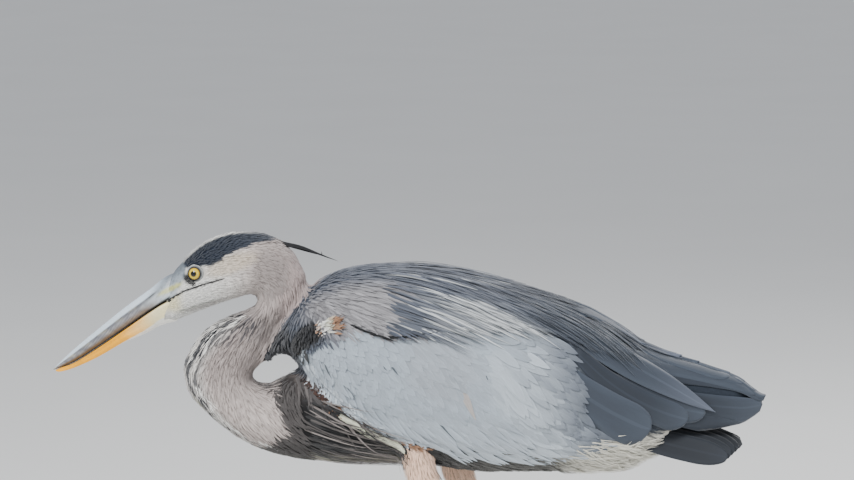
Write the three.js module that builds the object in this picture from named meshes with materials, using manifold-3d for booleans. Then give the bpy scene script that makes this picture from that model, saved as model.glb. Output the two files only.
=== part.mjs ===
// Great blue heron, life size, stalking with its body level and its neck folded in an S.
// Millimetres, +Z up. The bird faces -X and its left side is toward -Y.
import * as THREE from 'three';
import { mergeVertices } from 'three/addons/utils/BufferGeometryUtils.js';
import Module from 'manifold-3d';

const wasm = await Module();
wasm.setup();

// Driving dimensions of the bird, in millimetres.
const BODY_LENGTH = 400; // front of the chest to the root of the tail
const BODY_DEPTH = 190; // top of the back to the belly
const BODY_WIDTH = 140; // across the folded wings
const BELLY_HEIGHT = 310; // belly above the floor
const BODY_FRONT = -143; // x of the front of the chest
const SIDE_STEP = 2; // how far the feathers of the back stand over the folded wing
const WING_THICKNESS = 9; // of a folded wing, feathers included
const GAP = 0.3; // clearance between neighbouring pieces
const SOLE_LEVEL = 0; // z of the flat soles

// ---------- Colours ----------

const PALETTE = {
  slate: { color: 0x4d545f, roughness: 0.75 },
  blueGrey: { color: 0x8f9aa3, roughness: 0.75 },
  darkSlate: { color: 0x343a44, roughness: 0.7 },
  neckGrey: { color: 0xa2978f, roughness: 0.85 },
  white: { color: 0xe2e1dc, roughness: 0.8 },
  cinnamon: { color: 0xb48a72, roughness: 0.85 },
  horn: { color: 0x6b747a, roughness: 0.45 },
  yellow: { color: 0xd79a2e, roughness: 0.45 },
  iris: { color: 0xd8b62a, roughness: 0.15 },
  scale: { color: 0x4c4a3d, roughness: 0.6 },
  claw: { color: 0x201d1a, roughness: 0.4 },
};

function material(name) {
  return new THREE.MeshStandardMaterial({ ...PALETTE[name], metalness: 0 });
}

// ---------- Curves and sections ----------

// A smooth value along x through a few [x, value] points, without overshoot.
function profile(points) {
  const slopes = points.map((point, i) => {
    const before = points[Math.max(i - 1, 0)];
    const after = points[Math.min(i + 1, points.length - 1)];
    const left = (point[1] - before[1]) / (point[0] - before[0] || 1);
    const right = (after[1] - point[1]) / (after[0] - point[0] || 1);
    if (i === 0) return right;
    if (i === points.length - 1) return left;
    return left * right <= 0 ? 0 : (2 * left * right) / (left + right);
  });
  return (x) => {
    const last = points.length - 2;
    let i = points.findIndex((point) => point[0] > x) - 1;
    if (i < 0) i = x <= points[0][0] ? 0 : last;
    const span = points[i + 1][0] - points[i][0];
    const t = Math.min(Math.max((x - points[i][0]) / span, 0), 1);
    const rise = t * t * (3 - 2 * t);
    const out = t * (1 - t) * (1 - t) * slopes[i] * span;
    const into = t * t * (1 - t) * slopes[i + 1] * span;
    return points[i][1] * (1 - rise) + points[i + 1][1] * rise + out - into;
  };
}

function power(value, exponent) {
  return Math.sign(value) * Math.abs(value) ** exponent;
}

// One closed ring: a rounded section about a centre. `across` and `up` are half-extents
// as vectors, `down` is the half-extent below the centre, and `square` is 2 for an ellipse.
function ring(centre, across, up, down, sides, square = 2) {
  return Array.from({ length: sides }, (_, i) => {
    const angle = (2 * Math.PI * i) / sides;
    const height = power(Math.sin(angle), 2 / square);
    return centre
      .clone()
      .addScaledVector(across, power(Math.cos(angle), 2 / square))
      .addScaledVector(height > 0 ? up : down, Math.abs(height));
  });
}

// A closed solid through a row of rings with equal counts.
function loft(rings) {
  const sides = rings[0].length;
  const points = rings.flat();
  const index = [];
  for (let r = 0; r + 1 < rings.length; r += 1) {
    for (let s = 0; s < sides; s += 1) {
      const a = r * sides + s;
      const b = r * sides + ((s + 1) % sides);
      index.push(a, b, a + sides, b, b + sides, a + sides);
    }
  }
  closeEnd(points, index, 0, sides, true);
  closeEnd(points, index, (rings.length - 1) * sides, sides, false);
  return outward(solidFrom(points, index));
}

function closeEnd(points, index, first, sides, reversed) {
  const middle = new THREE.Vector3();
  for (let s = 0; s < sides; s += 1) middle.add(points[first + s]);
  const centre = points.push(middle.divideScalar(sides)) - 1;
  for (let s = 0; s < sides; s += 1) {
    const a = first + s;
    const b = first + ((s + 1) % sides);
    index.push(...(reversed ? [b, a, centre] : [a, b, centre]));
  }
}

function solidFrom(points, index) {
  const geometry = new THREE.BufferGeometry().setFromPoints(points);
  geometry.setIndex(index);
  return geometry;
}

// Turns a closed geometry's faces outward, by the sign of its volume.
function outward(geometry) {
  const place = geometry.attributes.position;
  const index = geometry.index.array;
  const corner = [0, 1, 2].map(() => new THREE.Vector3());
  let volume = 0;
  for (let i = 0; i < index.length; i += 3) {
    corner.forEach((point, k) => point.fromBufferAttribute(place, index[i + k]));
    volume += corner[0].dot(corner[1].cross(corner[2]));
  }
  if (volume < 0) {
    for (let i = 0; i < index.length; i += 3) {
      [index[i], index[i + 1]] = [index[i + 1], index[i]];
    }
  }
  return geometry;
}

function toManifold(geometry) {
  const bare = geometry.clone();
  bare.deleteAttribute('normal');
  bare.deleteAttribute('uv');
  const merged = mergeVertices(bare, 1e-4);
  const vertProperties = new Float32Array(merged.attributes.position.array);
  const triVerts = new Uint32Array(merged.index.array);
  return new wasm.Manifold(new wasm.Mesh({ numProp: 3, vertProperties, triVerts }));
}

function toGeometry(manifold) {
  const mesh = manifold.getMesh();
  const geometry = new THREE.BufferGeometry();
  geometry.setAttribute('position', new THREE.BufferAttribute(mesh.vertProperties.slice(), 3));
  geometry.setIndex(new THREE.BufferAttribute(mesh.triVerts.slice(), 1));
  return geometry;
}

function solid(rings) {
  return toManifold(loft(rings));
}

function join(pieces) {
  return pieces.reduce((whole, piece) => whole.add(piece));
}

function mirrored(manifold) {
  return manifold.mirror([0, 1, 0]);
}

// A rib of the neck or head: a section hung between two points of the side view.
function rib([backX, backZ, frontX, frontZ, halfWidth], grow = 0, sides = 14, square = 2.1) {
  const back = new THREE.Vector3(backX, 0, backZ);
  const front = new THREE.Vector3(frontX, 0, frontZ);
  const centre = back.clone().add(front).multiplyScalar(0.5);
  const half = back.clone().sub(centre);
  half.setLength(half.length() + grow);
  const across = new THREE.Vector3(0, halfWidth + grow, 0);
  return ring(centre, across, half, half.clone().negate(), sides, square);
}

// Ribs spaced evenly between the given ones, on smooth curves through them.
function ribs(list, steps, from = 0, to = list.length - 1) {
  const columns = list[0].map((_, c) => profile(list.map((row, i) => [i, row[c]])));
  const count = Math.round((to - from) * steps);
  const at = (i) => from + ((to - from) * i) / count;
  return Array.from({ length: count + 1 }, (_, i) => columns.map((column) => column(at(i))));
}

// ---------- Body and wings ----------

// The outline of the body with its wings folded: heights over the belly as fractions of
// BODY_DEPTH and widths as fractions of half of BODY_WIDTH, at fractions of BODY_LENGTH.
// The wings reach past the root of the tail, to WING_END.
const WING_END = 1.186;
const BACK_LINE = profile([
  [0, 0.53], [0.045, 0.69], [0.1, 0.865], [0.16, 0.965], [0.22, 1.01], [0.31, 1.03],
  [0.42, 1.01], [0.54, 0.955], [0.64, 0.895], [0.74, 0.82], [0.83, 0.72], [0.9, 0.625],
  [1, 0.56], [1.1, 0.49], [1.15, 0.445], [WING_END, 0.39],
]);
const BELLY_LINE = profile([
  [0, 0.52], [0.03, 0.565], [0.07, 0.615], [0.09, 0.55], [0.13, 0.46], [0.17, 0.34], [0.23, 0.18],
  [0.32, 0.075], [0.42, 0.045], [0.52, 0.015], [0.75, 0.02], [0.86, 0.035], [0.94, 0.1],
  [1, 0.2], [WING_END, 0.26],
]);
const HALF_WIDTH_LINE = profile([
  [0, 0.06], [0.03, 0.25], [0.08, 0.55], [0.13, 0.76], [0.2, 0.91], [0.3, 0.99], [0.45, 1],
  [0.6, 0.95], [0.72, 0.85], [0.82, 0.71], [0.9, 0.56], [1, 0.39], [1.1, 0.26], [WING_END, 0.15],
]);
const TAIL_ROOT = 0.33; // height at which the trunk runs out, as a fraction of BODY_DEPTH
const TAPER = 0.13; // the last stretch of the trunk, over which it closes
const LEAST_SECTION = 0.02; // area left to its last section
const WIDEST = 0.52; // height of a section's widest place, from its bottom
const BODY_SQUARE = 2.15; // how square a section is: 2 is an ellipse
const CROWDING = 0.55; // how much closer the sections stand at the blunt front

// One section of the body, its surface moved out by `grow` and its size scaled by `scale`.
function bodyRing(fraction, grow, sides, scale) {
  const heightAt = (line) => BELLY_HEIGHT + BODY_DEPTH * (TAIL_ROOT + (line - TAIL_ROOT) * scale);
  const top = heightAt(BACK_LINE(fraction)) + grow;
  const bottom = heightAt(BELLY_LINE(fraction)) - grow;
  const halfWidth = (BODY_WIDTH / 2) * HALF_WIDTH_LINE(fraction) * scale + grow;
  const middle = bottom + (top - bottom) * WIDEST;
  const centre = new THREE.Vector3(BODY_FRONT + BODY_LENGTH * fraction, 0, middle);
  const across = new THREE.Vector3(0, Math.max(halfWidth, 1), 0);
  const up = new THREE.Vector3(0, 0, top - middle);
  const down = new THREE.Vector3(0, 0, bottom - middle);
  return ring(centre, across, up, down, sides, BODY_SQUARE);
}

// Sections from `start` to `end`, closer set toward the blunt front.
function bodyRings(start, end, grow, stations, sides, scaleAt) {
  return Array.from({ length: stations + 1 }, (_, i) => {
    const t = i / stations;
    const fraction = start + (end - start) * t * (1 - CROWDING + CROWDING * t);
    return bodyRing(fraction, grow, sides, scaleAt(fraction));
  });
}

// The trunk's own surface, which closes at the root of the tail.
function body(grow) {
  const closed = (fraction) => Math.max((fraction - 1 + TAPER) / TAPER, 0);
  const scaleAt = (fraction) => Math.sqrt(Math.max(1 - closed(fraction) ** 2, LEAST_SECTION));
  return solid(bodyRings(0, 1, grow, 20, 20, scaleAt));
}

// The surface over both folded wings, out to their tips.
function folded(grow) {
  return solid(bodyRings(0, WING_END, grow, 22, 20, () => 1));
}

const CORE_START = 0.1;

// What lies inside the wings: coarser, as it only shows at their edges.
function core(grow) {
  return solid(bodyRings(CORE_START, WING_END, grow, 10, 12, () => 1));
}

// The folded wing seen from the side: from its bend round the lower edge to the tips of the
// long feathers, then over the top and back along the feathers of the shoulder.
const WING_OUTLINE = [
  [-105, 432], [-102, 420], [-94, 410], [-80, 399], [-58, 378], [-31, 361], [0, 352],
  [45, 347], [76, 338], [108, 338], [136, 346], [160, 360], [178, 367], [192, 361], [206, 361],
  [216, 361], [236, 363], [250, 371], [266, 370], [284, 363], [312, 360], [323, 366], [327, 374],
  [322, 380], [329, 385], [336, 396], [330, 440], [222, 450], [206, 432], [189, 428], [166, 427],
  [138, 433], [83, 446], [20, 449], [-17, 447], [-38, 450], [-56, 459], [-72, 457], [-88, 447],
  [-101, 440],
];
// The part of it under the small pale feathers, which stand over the long dark ones.
const COVERT_OUTLINE = [
  [-115, 432], [-100, 400], [-60, 365], [0, 335], [76, 325], [130, 334], [140, 350],
  [152, 372], [155, 391], [166, 412], [175, 440], [83, 460], [-56, 470], [-101, 450],
];
const COVERT_STEP = 1.5; // how far they stand over them

// A prism across the left side of the body, with its outline moved out by `grow`.
function sidePrism(points, grow, count) {
  const spline = new THREE.CatmullRomCurve3(
    points.map(([x, z]) => new THREE.Vector3(x, z, 0)), true, 'centripetal');
  const edge = spline.getPoints(count).slice(0, -1).map((p) => new THREE.Vector2(p.x, p.y));
  const outline = edge.map((point, i) => {
    const before = edge[(i + edge.length - 1) % edge.length];
    const after = edge[(i + 1) % edge.length];
    const along = after.clone().sub(before).normalize();
    return new THREE.Vector2(point.x + along.y * grow, point.y - along.x * grow);
  });
  const prism = new THREE.ExtrudeGeometry(new THREE.Shape(outline), {
    depth: BODY_WIDTH, bevelEnabled: false, steps: 1,
  });
  return toManifold(prism.rotateX(Math.PI / 2).translate(0, -GAP / 2 + grow, 0));
}

function wingPrism(grow) {
  return sidePrism(WING_OUTLINE, grow, 60);
}

// A wing: a shell inside the wing's outline, with the pale feathers standing over it.
function wing(hand) {
  const toSide = (prism) => (hand < 0 ? prism : mirrored(prism));
  const coverts = folded(COVERT_STEP).intersect(toSide(sidePrism(COVERT_OUTLINE, 0, 24)));
  const panel = folded(0).add(coverts).intersect(toSide(wingPrism(0)));
  return panel.subtract(core(-WING_THICKNESS));
}

const FEATHER_STATIONS = 6;
const FEATHER_SQUARE = 1.7; // under 2, so that both edges of a blade are thin

// A long feather: a thin blade whose rounded end starts at `endsAt` of its length. `root` and
// `tip` are points of its shaft, `hang` points from its upper to its lower edge, and `bow` is
// its lift off a straight line. Its sections crowd toward the tip.
function feather({ root, tip, width, hang, thickness, bow, endsAt }) {
  const start = new THREE.Vector3(...root);
  const end = new THREE.Vector3(...tip);
  const along = end.clone().sub(start).normalize();
  const down = new THREE.Vector3(...hang);
  down.addScaledVector(along, -down.dot(along)).normalize();
  const out = new THREE.Vector3().crossVectors(along, down);
  const rings = [];
  for (let i = 0; i <= FEATHER_STATIONS; i += 1) {
    const t = 1 - (1 - i / FEATHER_STATIONS) ** 2.4;
    const middle = start.clone().lerp(end, t).addScaledVector(out, bow * 4 * t * (1 - t));
    const swell = 0.7 + 0.3 * Math.sin(Math.PI * Math.min(t / 1.4, 1));
    const round = Math.sqrt(Math.max(1 - Math.max((t - endsAt) / (1 - endsAt), 0) ** 2, 0));
    const half = Math.max((width / 2) * swell * round, 1.2);
    const across = out.clone().multiplyScalar((thickness / 2) * (1 - 0.45 * t));
    const low = down.clone().multiplyScalar(half);
    rings.push(ring(middle, across, low.clone().negate(), low, 6, FEATHER_SQUARE));
  }
  return solid(rings);
}

// ---------- Neck and head ----------

// Ribs from the nape down round the S to the breast: rear x and z, front x and z, half-width.
const NECK_RIBS = [
  [-96, 499, -143, 475, 21], [-94, 486, -143, 470, 20], [-104, 469, -151, 464, 20],
  [-115, 453, -168, 458, 21], [-126, 432, -187, 447, 23], [-137, 414, -201, 430, 25],
  [-144, 404, -210, 408, 26], [-145, 400, -206, 388, 27], [-143, 397, -193, 371, 28],
  [-138, 395, -174, 352, 30], [-130, 395, -149, 336, 34], [-118, 402, -120, 326, 40],
  [-98, 410, -88, 321, 48], [-65, 415, -52, 320, 54], [-20, 410, -8, 320, 54],
];
// Where the neck is parted into lengths, counted in ribs, and where its last length ends.
const NECK_CUTS = { upper: 4, middle: 7.4, lower: 11.6 };
const CUT = 0.02; // half the width of a cut, in ribs
// Ribs from the root of the bill back over the crown to the nape: top, bottom, half-width.
const HEAD_RIBS = [
  [-224, 493, -230, 448, 12], [-213, 505, -219, 452, 14.5], [-202, 516.5, -206, 457, 17],
  [-189, 526.5, -191, 462, 19.5], [-174, 533, -175, 467, 21.5], [-158, 536, -160, 472, 22.5],
  [-142, 535, -150, 475, 22.5], [-127, 531, -145.5, 476, 22], [-114, 523.5, -144, 476, 21.5],
  [-104, 513, -143.3, 475.6, 21.2], [-96, 499, -143, 475, 21],
];
const EYE_RADIUS = 7.6;
const EYE_CENTRE = [-197, 12.2, 498.5];

function tube(list, grow, from, to) {
  return solid(ribs(list, 2, from, to).map((row) => rib(row, grow)));
}

function sphere(radius, [x, y, z], rows = 7) {
  const ball = new THREE.SphereGeometry(radius, rows * 2, rows);
  return toManifold(ball.translate(x, y, z));
}

// Upper and lower edges of each half of the bill, from its root to the tip, and half-widths.
const UPPER_BILL = [
  [-225, 493, -228, 470, 11.4], [-241, 481, -242, 460.9, 9.6], [-262, 466, -264, 445.2, 7.6],
  [-285, 447.5, -287, 429, 5.6], [-308, 428.5, -309.5, 414.4, 3.6], [-324, 414, -325, 408.2, 1.8],
  [-330, 407.5, -330.4, 406.6, 0.6],
];
const LOWER_BILL = [
  [-228, 469.5, -230.6, 448, 11.2], [-242, 460.4, -244, 441, 9.2], [-264, 444.7, -266, 431.5, 7],
  [-287, 428.5, -289, 418.5, 5], [-309.5, 413.9, -310, 408.8, 3.2], [-323, 408.4, -323.5, 404.8, 1.6],
  [-328, 406, -328.2, 405, 0.6],
];

const BILL_SQUARE = 1.8; // under 2, for the ridge and the keel of the bill

function billHalf(list) {
  return solid(ribs(list, 1.5).map((row) => rib(row, 0, 10, BILL_SQUARE)));
}

// The trunk: the body without its wings, and the breast that carries the neck's last length.
function trunk() {
  const cut = wingPrism(GAP);
  const breast = tube(NECK_RIBS, 0, NECK_CUTS.lower + CUT);
  const coat = body(SIDE_STEP).add(breast).subtract(cut).subtract(mirrored(cut));
  const inside = core(-WING_THICKNESS - GAP).intersect(body(0));
  const restOfNeck = tube(NECK_RIBS, GAP, 0, NECK_CUTS.lower + CUT / 2);
  return coat.add(inside).subtract(restOfNeck);
}

// The black plume that trails from the back of the crown.
function plume() {
  const route = new THREE.CatmullRomCurve3([
    new THREE.Vector3(-116, 0, 521), new THREE.Vector3(-100, 0, 522),
    new THREE.Vector3(-82, 0, 513), new THREE.Vector3(-66, 0, 508),
  ]);
  const rings = route.getPoints(6).map((point, i) => {
    const taper = 1 - 0.1 * i;
    const across = new THREE.Vector3(0, 1.6 * taper, 0);
    const up = new THREE.Vector3(0.5, 0, 1.5).multiplyScalar(taper * 0.9);
    return ring(point, across, up, up.clone().negate(), 6);
  });
  return solid(rings);
}

// ---------- Tail ----------

const TAIL_PAIRS = 3;

// The closed tail: feathers side by side, each pair lower and farther out than the one above.
function tail() {
  const pairs = [];
  for (let i = 0; i < TAIL_PAIRS; i += 1) {
    const outward = i / (TAIL_PAIRS - 1);
    pairs.push(feather({
      root: [186, -8 - 14 * outward, 371 - 19 * outward],
      tip: [308 - 9 * outward, -9 - 19 * outward, 339 - 15 * outward],
      width: 32,
      hang: [0, -1, -0.75 - 0.9 * outward],
      thickness: 3.4,
      bow: 3,
      endsAt: 0.84,
    }));
  }
  const left = join(pairs);
  return left.add(mirrored(left));
}

// ---------- Legs and feet ----------

const LEGS = [
  { side: 'left', hand: -1, knee: -4, hock: 52, toes: -2 },
  { side: 'right', hand: 1, knee: 28, hock: 78, toes: 32 },
];
const LEG_SPREAD = 42; // each leg's distance from the middle
const HOCK_HEIGHT = 182;
const KNEE_HEIGHT = 362; // inside the body
const BALL_HEIGHT = 11; // where the leg meets the ball of its foot
const LEG_FLATNESS = 0.86; // a leg's width across the bird, over its depth

// A tapered length of leg through `points`, with one radius for each of them.
function limb(points, radii) {
  const route = new THREE.CatmullRomCurve3(points.map((p) => new THREE.Vector3(...p)));
  const steps = 2 * (points.length - 1);
  const size = profile(radii.map((radius, i) => [i / (radii.length - 1), radius]));
  const rings = [];
  for (let i = 0; i <= steps; i += 1) {
    const t = i / steps;
    const along = route.getTangent(t);
    const across = new THREE.Vector3(0, 1, 0).addScaledVector(along, -along.y).normalize();
    const up = new THREE.Vector3().crossVectors(along, across).multiplyScalar(size(t));
    const centre = route.getPoint(t);
    across.multiplyScalar(size(t) * LEG_FLATNESS);
    rings.push(ring(centre, across, up, up.clone().negate(), 10));
  }
  return solid(rings);
}

function thigh({ hand, knee, hock }) {
  const y = hand * LEG_SPREAD;
  const at = (t) => [knee + (hock - knee) * t, y, KNEE_HEIGHT + (HOCK_HEIGHT - KNEE_HEIGHT) * t];
  return limb([at(0), at(0.3), at(0.55), at(0.78), at(0.98)], [12, 17, 12, 6.2, 6]);
}

function tarsus({ hand, hock, toes }, grow) {
  const y = hand * LEG_SPREAD;
  const at = (t) => [hock + (toes - hock) * t, y, HOCK_HEIGHT + (BALL_HEIGHT - HOCK_HEIGHT) * t];
  const radii = [5, 8.6, 6, 4.6, 5.4, 6.4].map((radius) => radius + grow);
  return limb([at(-0.04), at(0.03), at(0.14), at(0.5), at(0.86), at(0.97)], radii);
}

// Each toe: its direction outward from straight ahead in degrees, its length and its claw's.
const TOES = [
  { name: 'inner', turn: -34, length: 66, claw: 13 },
  { name: 'middle', turn: -2, length: 86, claw: 15 },
  { name: 'outer', turn: 30, length: 73, claw: 13 },
  { name: 'hind', turn: 168, length: 46, claw: 19 },
];
const TOE_ROOT_RADIUS = 5.6;
const TOE_TIP_RADIUS = 3.6;
const KNUCKLE = 0.1; // how much a toe swells at its joints
const BALL_RADIUS = 9.5;
const FLAT = 0.9; // height of a toe's axis over the floor, in its own radii
const CLAW_RADIUS = 3.35;
const CLAW_POINT = 0.45; // radius of a claw's point
const CLAW_HEIGHT = 4.4; // of a claw's root
const CLAW_ARCH = 1.6;
const CLAW_DROP = 3.2;

function toeDirection({ turn }, hand) {
  const angle = THREE.MathUtils.degToRad(turn);
  return new THREE.Vector3(-Math.cos(angle), hand * Math.sin(angle), 0);
}

function ballPoint({ hand, toes }) {
  return new THREE.Vector3(toes - 2, hand * LEG_SPREAD, 0);
}

function toe(leg, shape) {
  const along = toeDirection(shape, leg.hand);
  const across = new THREE.Vector3(-along.y, along.x, 0);
  const rings = [];
  const steps = 6;
  for (let i = 0; i <= steps; i += 1) {
    const t = i / steps;
    const knuckle = 1 + KNUCKLE * Math.cos(t * Math.PI * 4);
    const radius = (TOE_ROOT_RADIUS + (TOE_TIP_RADIUS - TOE_ROOT_RADIUS) * t) * knuckle;
    const centre = ballPoint(leg).addScaledVector(along, shape.length * t);
    centre.z = radius * FLAT + SOLE_LEVEL;
    const up = new THREE.Vector3(0, 0, radius);
    rings.push(ring(centre, across.clone().multiplyScalar(radius), up, up.clone().negate(), 7));
  }
  return solid(rings);
}

function claw(leg, shape) {
  const along = toeDirection(shape, leg.hand);
  const across = new THREE.Vector3(-along.y, along.x, 0);
  const rings = [];
  const steps = 4;
  for (let i = 0; i <= steps; i += 1) {
    const t = i / steps;
    const radius = CLAW_POINT + (CLAW_RADIUS - CLAW_POINT) * (1 - t) ** 0.8;
    const centre = ballPoint(leg).addScaledVector(along, shape.length + GAP + shape.claw * t);
    centre.z = CLAW_HEIGHT + CLAW_ARCH * Math.sin(Math.PI * t * 0.8) - CLAW_DROP * t * t;
    const side = across.clone().multiplyScalar(radius * 0.8);
    const up = new THREE.Vector3(0, 0, radius * 1.1);
    rings.push(ring(centre, side, up, up.clone().negate(), 5));
  }
  return solid(rings);
}

// What is cut away below the soles, so that they are flat.
function belowFloor() {
  const depth = 2 * BALL_RADIUS;
  const slab = new THREE.BoxGeometry(2 * BODY_LENGTH, 2 * BODY_WIDTH, depth);
  return toManifold(slab.translate(0, 0, SOLE_LEVEL - depth / 2));
}

// The ball of the foot, where the toes meet under the leg.
function ball(leg, grow) {
  const pad = new THREE.SphereGeometry(BALL_RADIUS + grow, 10, 6).scale(1.15, 1, 0.95);
  const middle = ballPoint(leg);
  return toManifold(pad.translate(middle.x + 3, middle.y, BALL_RADIUS - 1.5));
}

function foot(leg) {
  const toes = TOES.map((shape) => toe(leg, shape));
  return join([ball(leg, 0), ...toes]).subtract(belowFloor());
}

// ---------- The whole bird ----------

const bird = new THREE.Group();

function place(name, manifold, colour) {
  const geometry = toGeometry(manifold);
  geometry.computeVertexNormals();
  const mesh = new THREE.Mesh(geometry, material(colour));
  mesh.name = name;
  bird.add(mesh);
}

function addPair(name, manifold, colour) {
  place(`${name}_left`, manifold, colour);
  place(`${name}_right`, mirrored(manifold), colour);
}

// The tail and thighs are cut off at the trunk's surface.
const besideTrunk = body(SIDE_STEP + GAP).add(tube(NECK_RIBS, GAP));
place('trunk', trunk(), 'slate');
place('neck_upper', tube(NECK_RIBS, 0, 0, NECK_CUTS.upper - CUT), 'neckGrey');
place('neck_middle', tube(NECK_RIBS, 0, NECK_CUTS.upper, NECK_CUTS.middle - CUT), 'neckGrey');
place('neck_lower', tube(NECK_RIBS, 0, NECK_CUTS.middle, NECK_CUTS.lower - CUT), 'neckGrey');

const eyes = [-1, 1].map((hand) => [EYE_CENTRE[0], hand * EYE_CENTRE[1], EYE_CENTRE[2]]);
const sockets = join(eyes.map((centre) => sphere(EYE_RADIUS + GAP, centre)));
place('head', tube(HEAD_RIBS, 0, 0, HEAD_RIBS.length - 1 - 3 * CUT).subtract(sockets), 'white');
addPair('eye', sphere(EYE_RADIUS, eyes[0]), 'iris');
place('bill_upper', billHalf(UPPER_BILL), 'horn');
place('bill_lower', billHalf(LOWER_BILL), 'yellow');
place('plume', plume().subtract(tube(HEAD_RIBS, GAP)), 'claw');
place('wing_left', wing(-1), 'blueGrey');
place('wing_right', wing(1), 'blueGrey');
place('tail', tail().subtract(besideTrunk), 'darkSlate');
LEGS.forEach((leg) => {
  place(`thigh_${leg.side}`, thigh(leg).subtract(besideTrunk).subtract(tarsus(leg, GAP)), 'cinnamon');
  place(`tarsus_${leg.side}`, tarsus(leg, 0).subtract(ball(leg, GAP)), 'scale');
  place(`foot_${leg.side}`, foot(leg), 'scale');
  TOES.forEach((shape) => place(`claw_${leg.side}_${shape.name}`, claw(leg, shape), 'claw'));
});

// The origin is at the middle of the bird's box, on the floor.
const middle = new THREE.Box3().setFromObject(bird).getCenter(new THREE.Vector3());
bird.position.set(-middle.x, -middle.y, -SOLE_LEVEL);

export default bird;
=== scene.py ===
"""Great blue heron: skin, feathers, bill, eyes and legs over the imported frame.

Shapes are worked out in millimetres in the frame's axes: the bird faces -X, its left side is
toward -Y and the floor is z = 0. Meshes are scaled to metres when they are made.
"""

import math

import bmesh
import bpy
import numpy as np
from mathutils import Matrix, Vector
from mathutils.bvhtree import BVHTree


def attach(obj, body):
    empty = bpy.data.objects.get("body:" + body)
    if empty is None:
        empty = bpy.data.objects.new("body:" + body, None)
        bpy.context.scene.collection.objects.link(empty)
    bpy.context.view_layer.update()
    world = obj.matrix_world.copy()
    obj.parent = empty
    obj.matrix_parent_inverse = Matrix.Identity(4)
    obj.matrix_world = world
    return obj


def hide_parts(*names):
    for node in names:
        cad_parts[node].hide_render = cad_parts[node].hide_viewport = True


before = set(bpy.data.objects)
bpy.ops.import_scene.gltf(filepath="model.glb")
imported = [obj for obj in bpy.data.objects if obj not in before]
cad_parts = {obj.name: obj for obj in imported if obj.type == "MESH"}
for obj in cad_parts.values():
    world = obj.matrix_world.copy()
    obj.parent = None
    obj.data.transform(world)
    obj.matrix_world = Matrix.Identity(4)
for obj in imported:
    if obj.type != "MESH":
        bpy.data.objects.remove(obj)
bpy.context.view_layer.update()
MM = 0.001
MIRROR = np.array([1, -1, 1])  # swaps the bird's left and right
RNG = np.random.default_rng(11)

# ---------- Numbers ----------


def unit(v):
    return v / np.maximum(np.linalg.norm(v, axis=-1, keepdims=True), 1e-9)


def smooth(x, start, end):
    """0 before `start`, 1 after `end`, with a soft rise between them."""
    t = np.clip((np.asarray(x, float) - start) / (end - start), 0, 1)
    return t * t * (3 - 2 * t)


def fall(x, start, end):
    """1 before `start`, 0 after `end`, with a soft fall between them."""
    return 1 - smooth(x, start, end)


def mix(a, b, share):
    share = np.asarray(share, float)[..., None]
    return a * (1 - share) + b * share


def painted(colour, *coats):
    """A colour with others laid over it in turn, each with its share at every point."""
    for tint, share in coats:
        colour = mix(colour, tint, share)
    return colour


def linear(code):
    """A colour given as six hexadecimal digits, as linear red, green and blue."""
    c = np.array([int(code[i : i + 2], 16) / 255 for i in (0, 2, 4)])
    return np.where(c <= 0.04045, c / 12.92, ((c + 0.055) / 1.055) ** 2.4)


def wobble(points, size, seed=0):
    """Soft seeded noise from -1 to 1 at each point; `size` is its grain in millimetres."""
    rng = np.random.default_rng(seed)
    total = np.zeros(len(points))
    for _ in range(5):
        wave = unit(rng.normal(size=3)) * (2 * np.pi / size) * rng.uniform(0.7, 1.5)
        total += np.sin(points @ wave + rng.uniform(0, 2 * np.pi))
    return total / 3.2


def along_line(x, line):
    """The value at x of a line through a few (x, value) points."""
    xs, values = zip(*line)
    return np.interp(x, xs, values)


def spline(rows, steps):
    """Rows on a smooth curve through the given ones, `steps` to each of their gaps."""
    rows = np.array(rows, float)
    ends = np.vstack([2 * rows[0] - rows[1], rows, 2 * rows[-1] - rows[-2]])
    made = []
    for i in range(len(rows) - 1):
        a, b, c, d = ends[i : i + 4]
        for t in np.arange(steps) / steps:
            bend = (2 * a - 5 * b + 4 * c - d) * t + (3 * b - a - 3 * c + d) * t * t
            made.append(b + 0.5 * t * (c - a + bend))
    return np.array([*made, rows[-1]])


# ---------- Meshes ----------


def new_object(name, vertices, faces):
    mesh = bpy.data.meshes.new(name)
    mesh.from_pydata((np.asarray(vertices) * MM).tolist(), [], faces)
    mesh.validate()
    mesh.polygons.foreach_set("use_smooth", np.ones(len(mesh.polygons), bool))
    obj = bpy.data.objects.new(name, mesh)
    bpy.context.scene.collection.objects.link(obj)
    return obj


def points_of(obj):
    co = np.empty(len(obj.data.vertices) * 3)
    obj.data.vertices.foreach_get("co", co)
    return co.reshape(-1, 3) / MM


def normals_of(obj):
    normals = np.empty(len(obj.data.vertices) * 3)
    obj.data.vertex_normals.foreach_get("vector", normals)
    return normals.reshape(-1, 3)


def move_points(obj, points):
    obj.data.vertices.foreach_set("co", (points * MM).ravel())
    obj.data.update()


def add_tint(obj, colours):
    """Gives each vertex its colour."""
    layer = obj.data.attributes.new("tint", "FLOAT_COLOR", "POINT")
    colours = np.c_[colours, np.ones(len(colours))]
    layer.data.foreach_set("color", np.clip(colours, 0, 1).ravel())


def add_vane(obj, places):
    """Gives each vertex its place on its feather: across, along and a chance number."""
    layer = obj.data.attributes.new("vane", "FLOAT_VECTOR", "POINT")
    layer.data.foreach_set("vector", places.ravel())


def add_uv(obj, uv_of_vertex):
    """The OFBake map, from one place on the unwrap for each vertex."""
    corners = np.empty(len(obj.data.loops), int)
    obj.data.loops.foreach_get("vertex_index", corners)
    layer = obj.data.uv_layers.new(name="OFBake")
    layer.data.foreach_set("uv", uv_of_vertex[corners].ravel())


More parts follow.
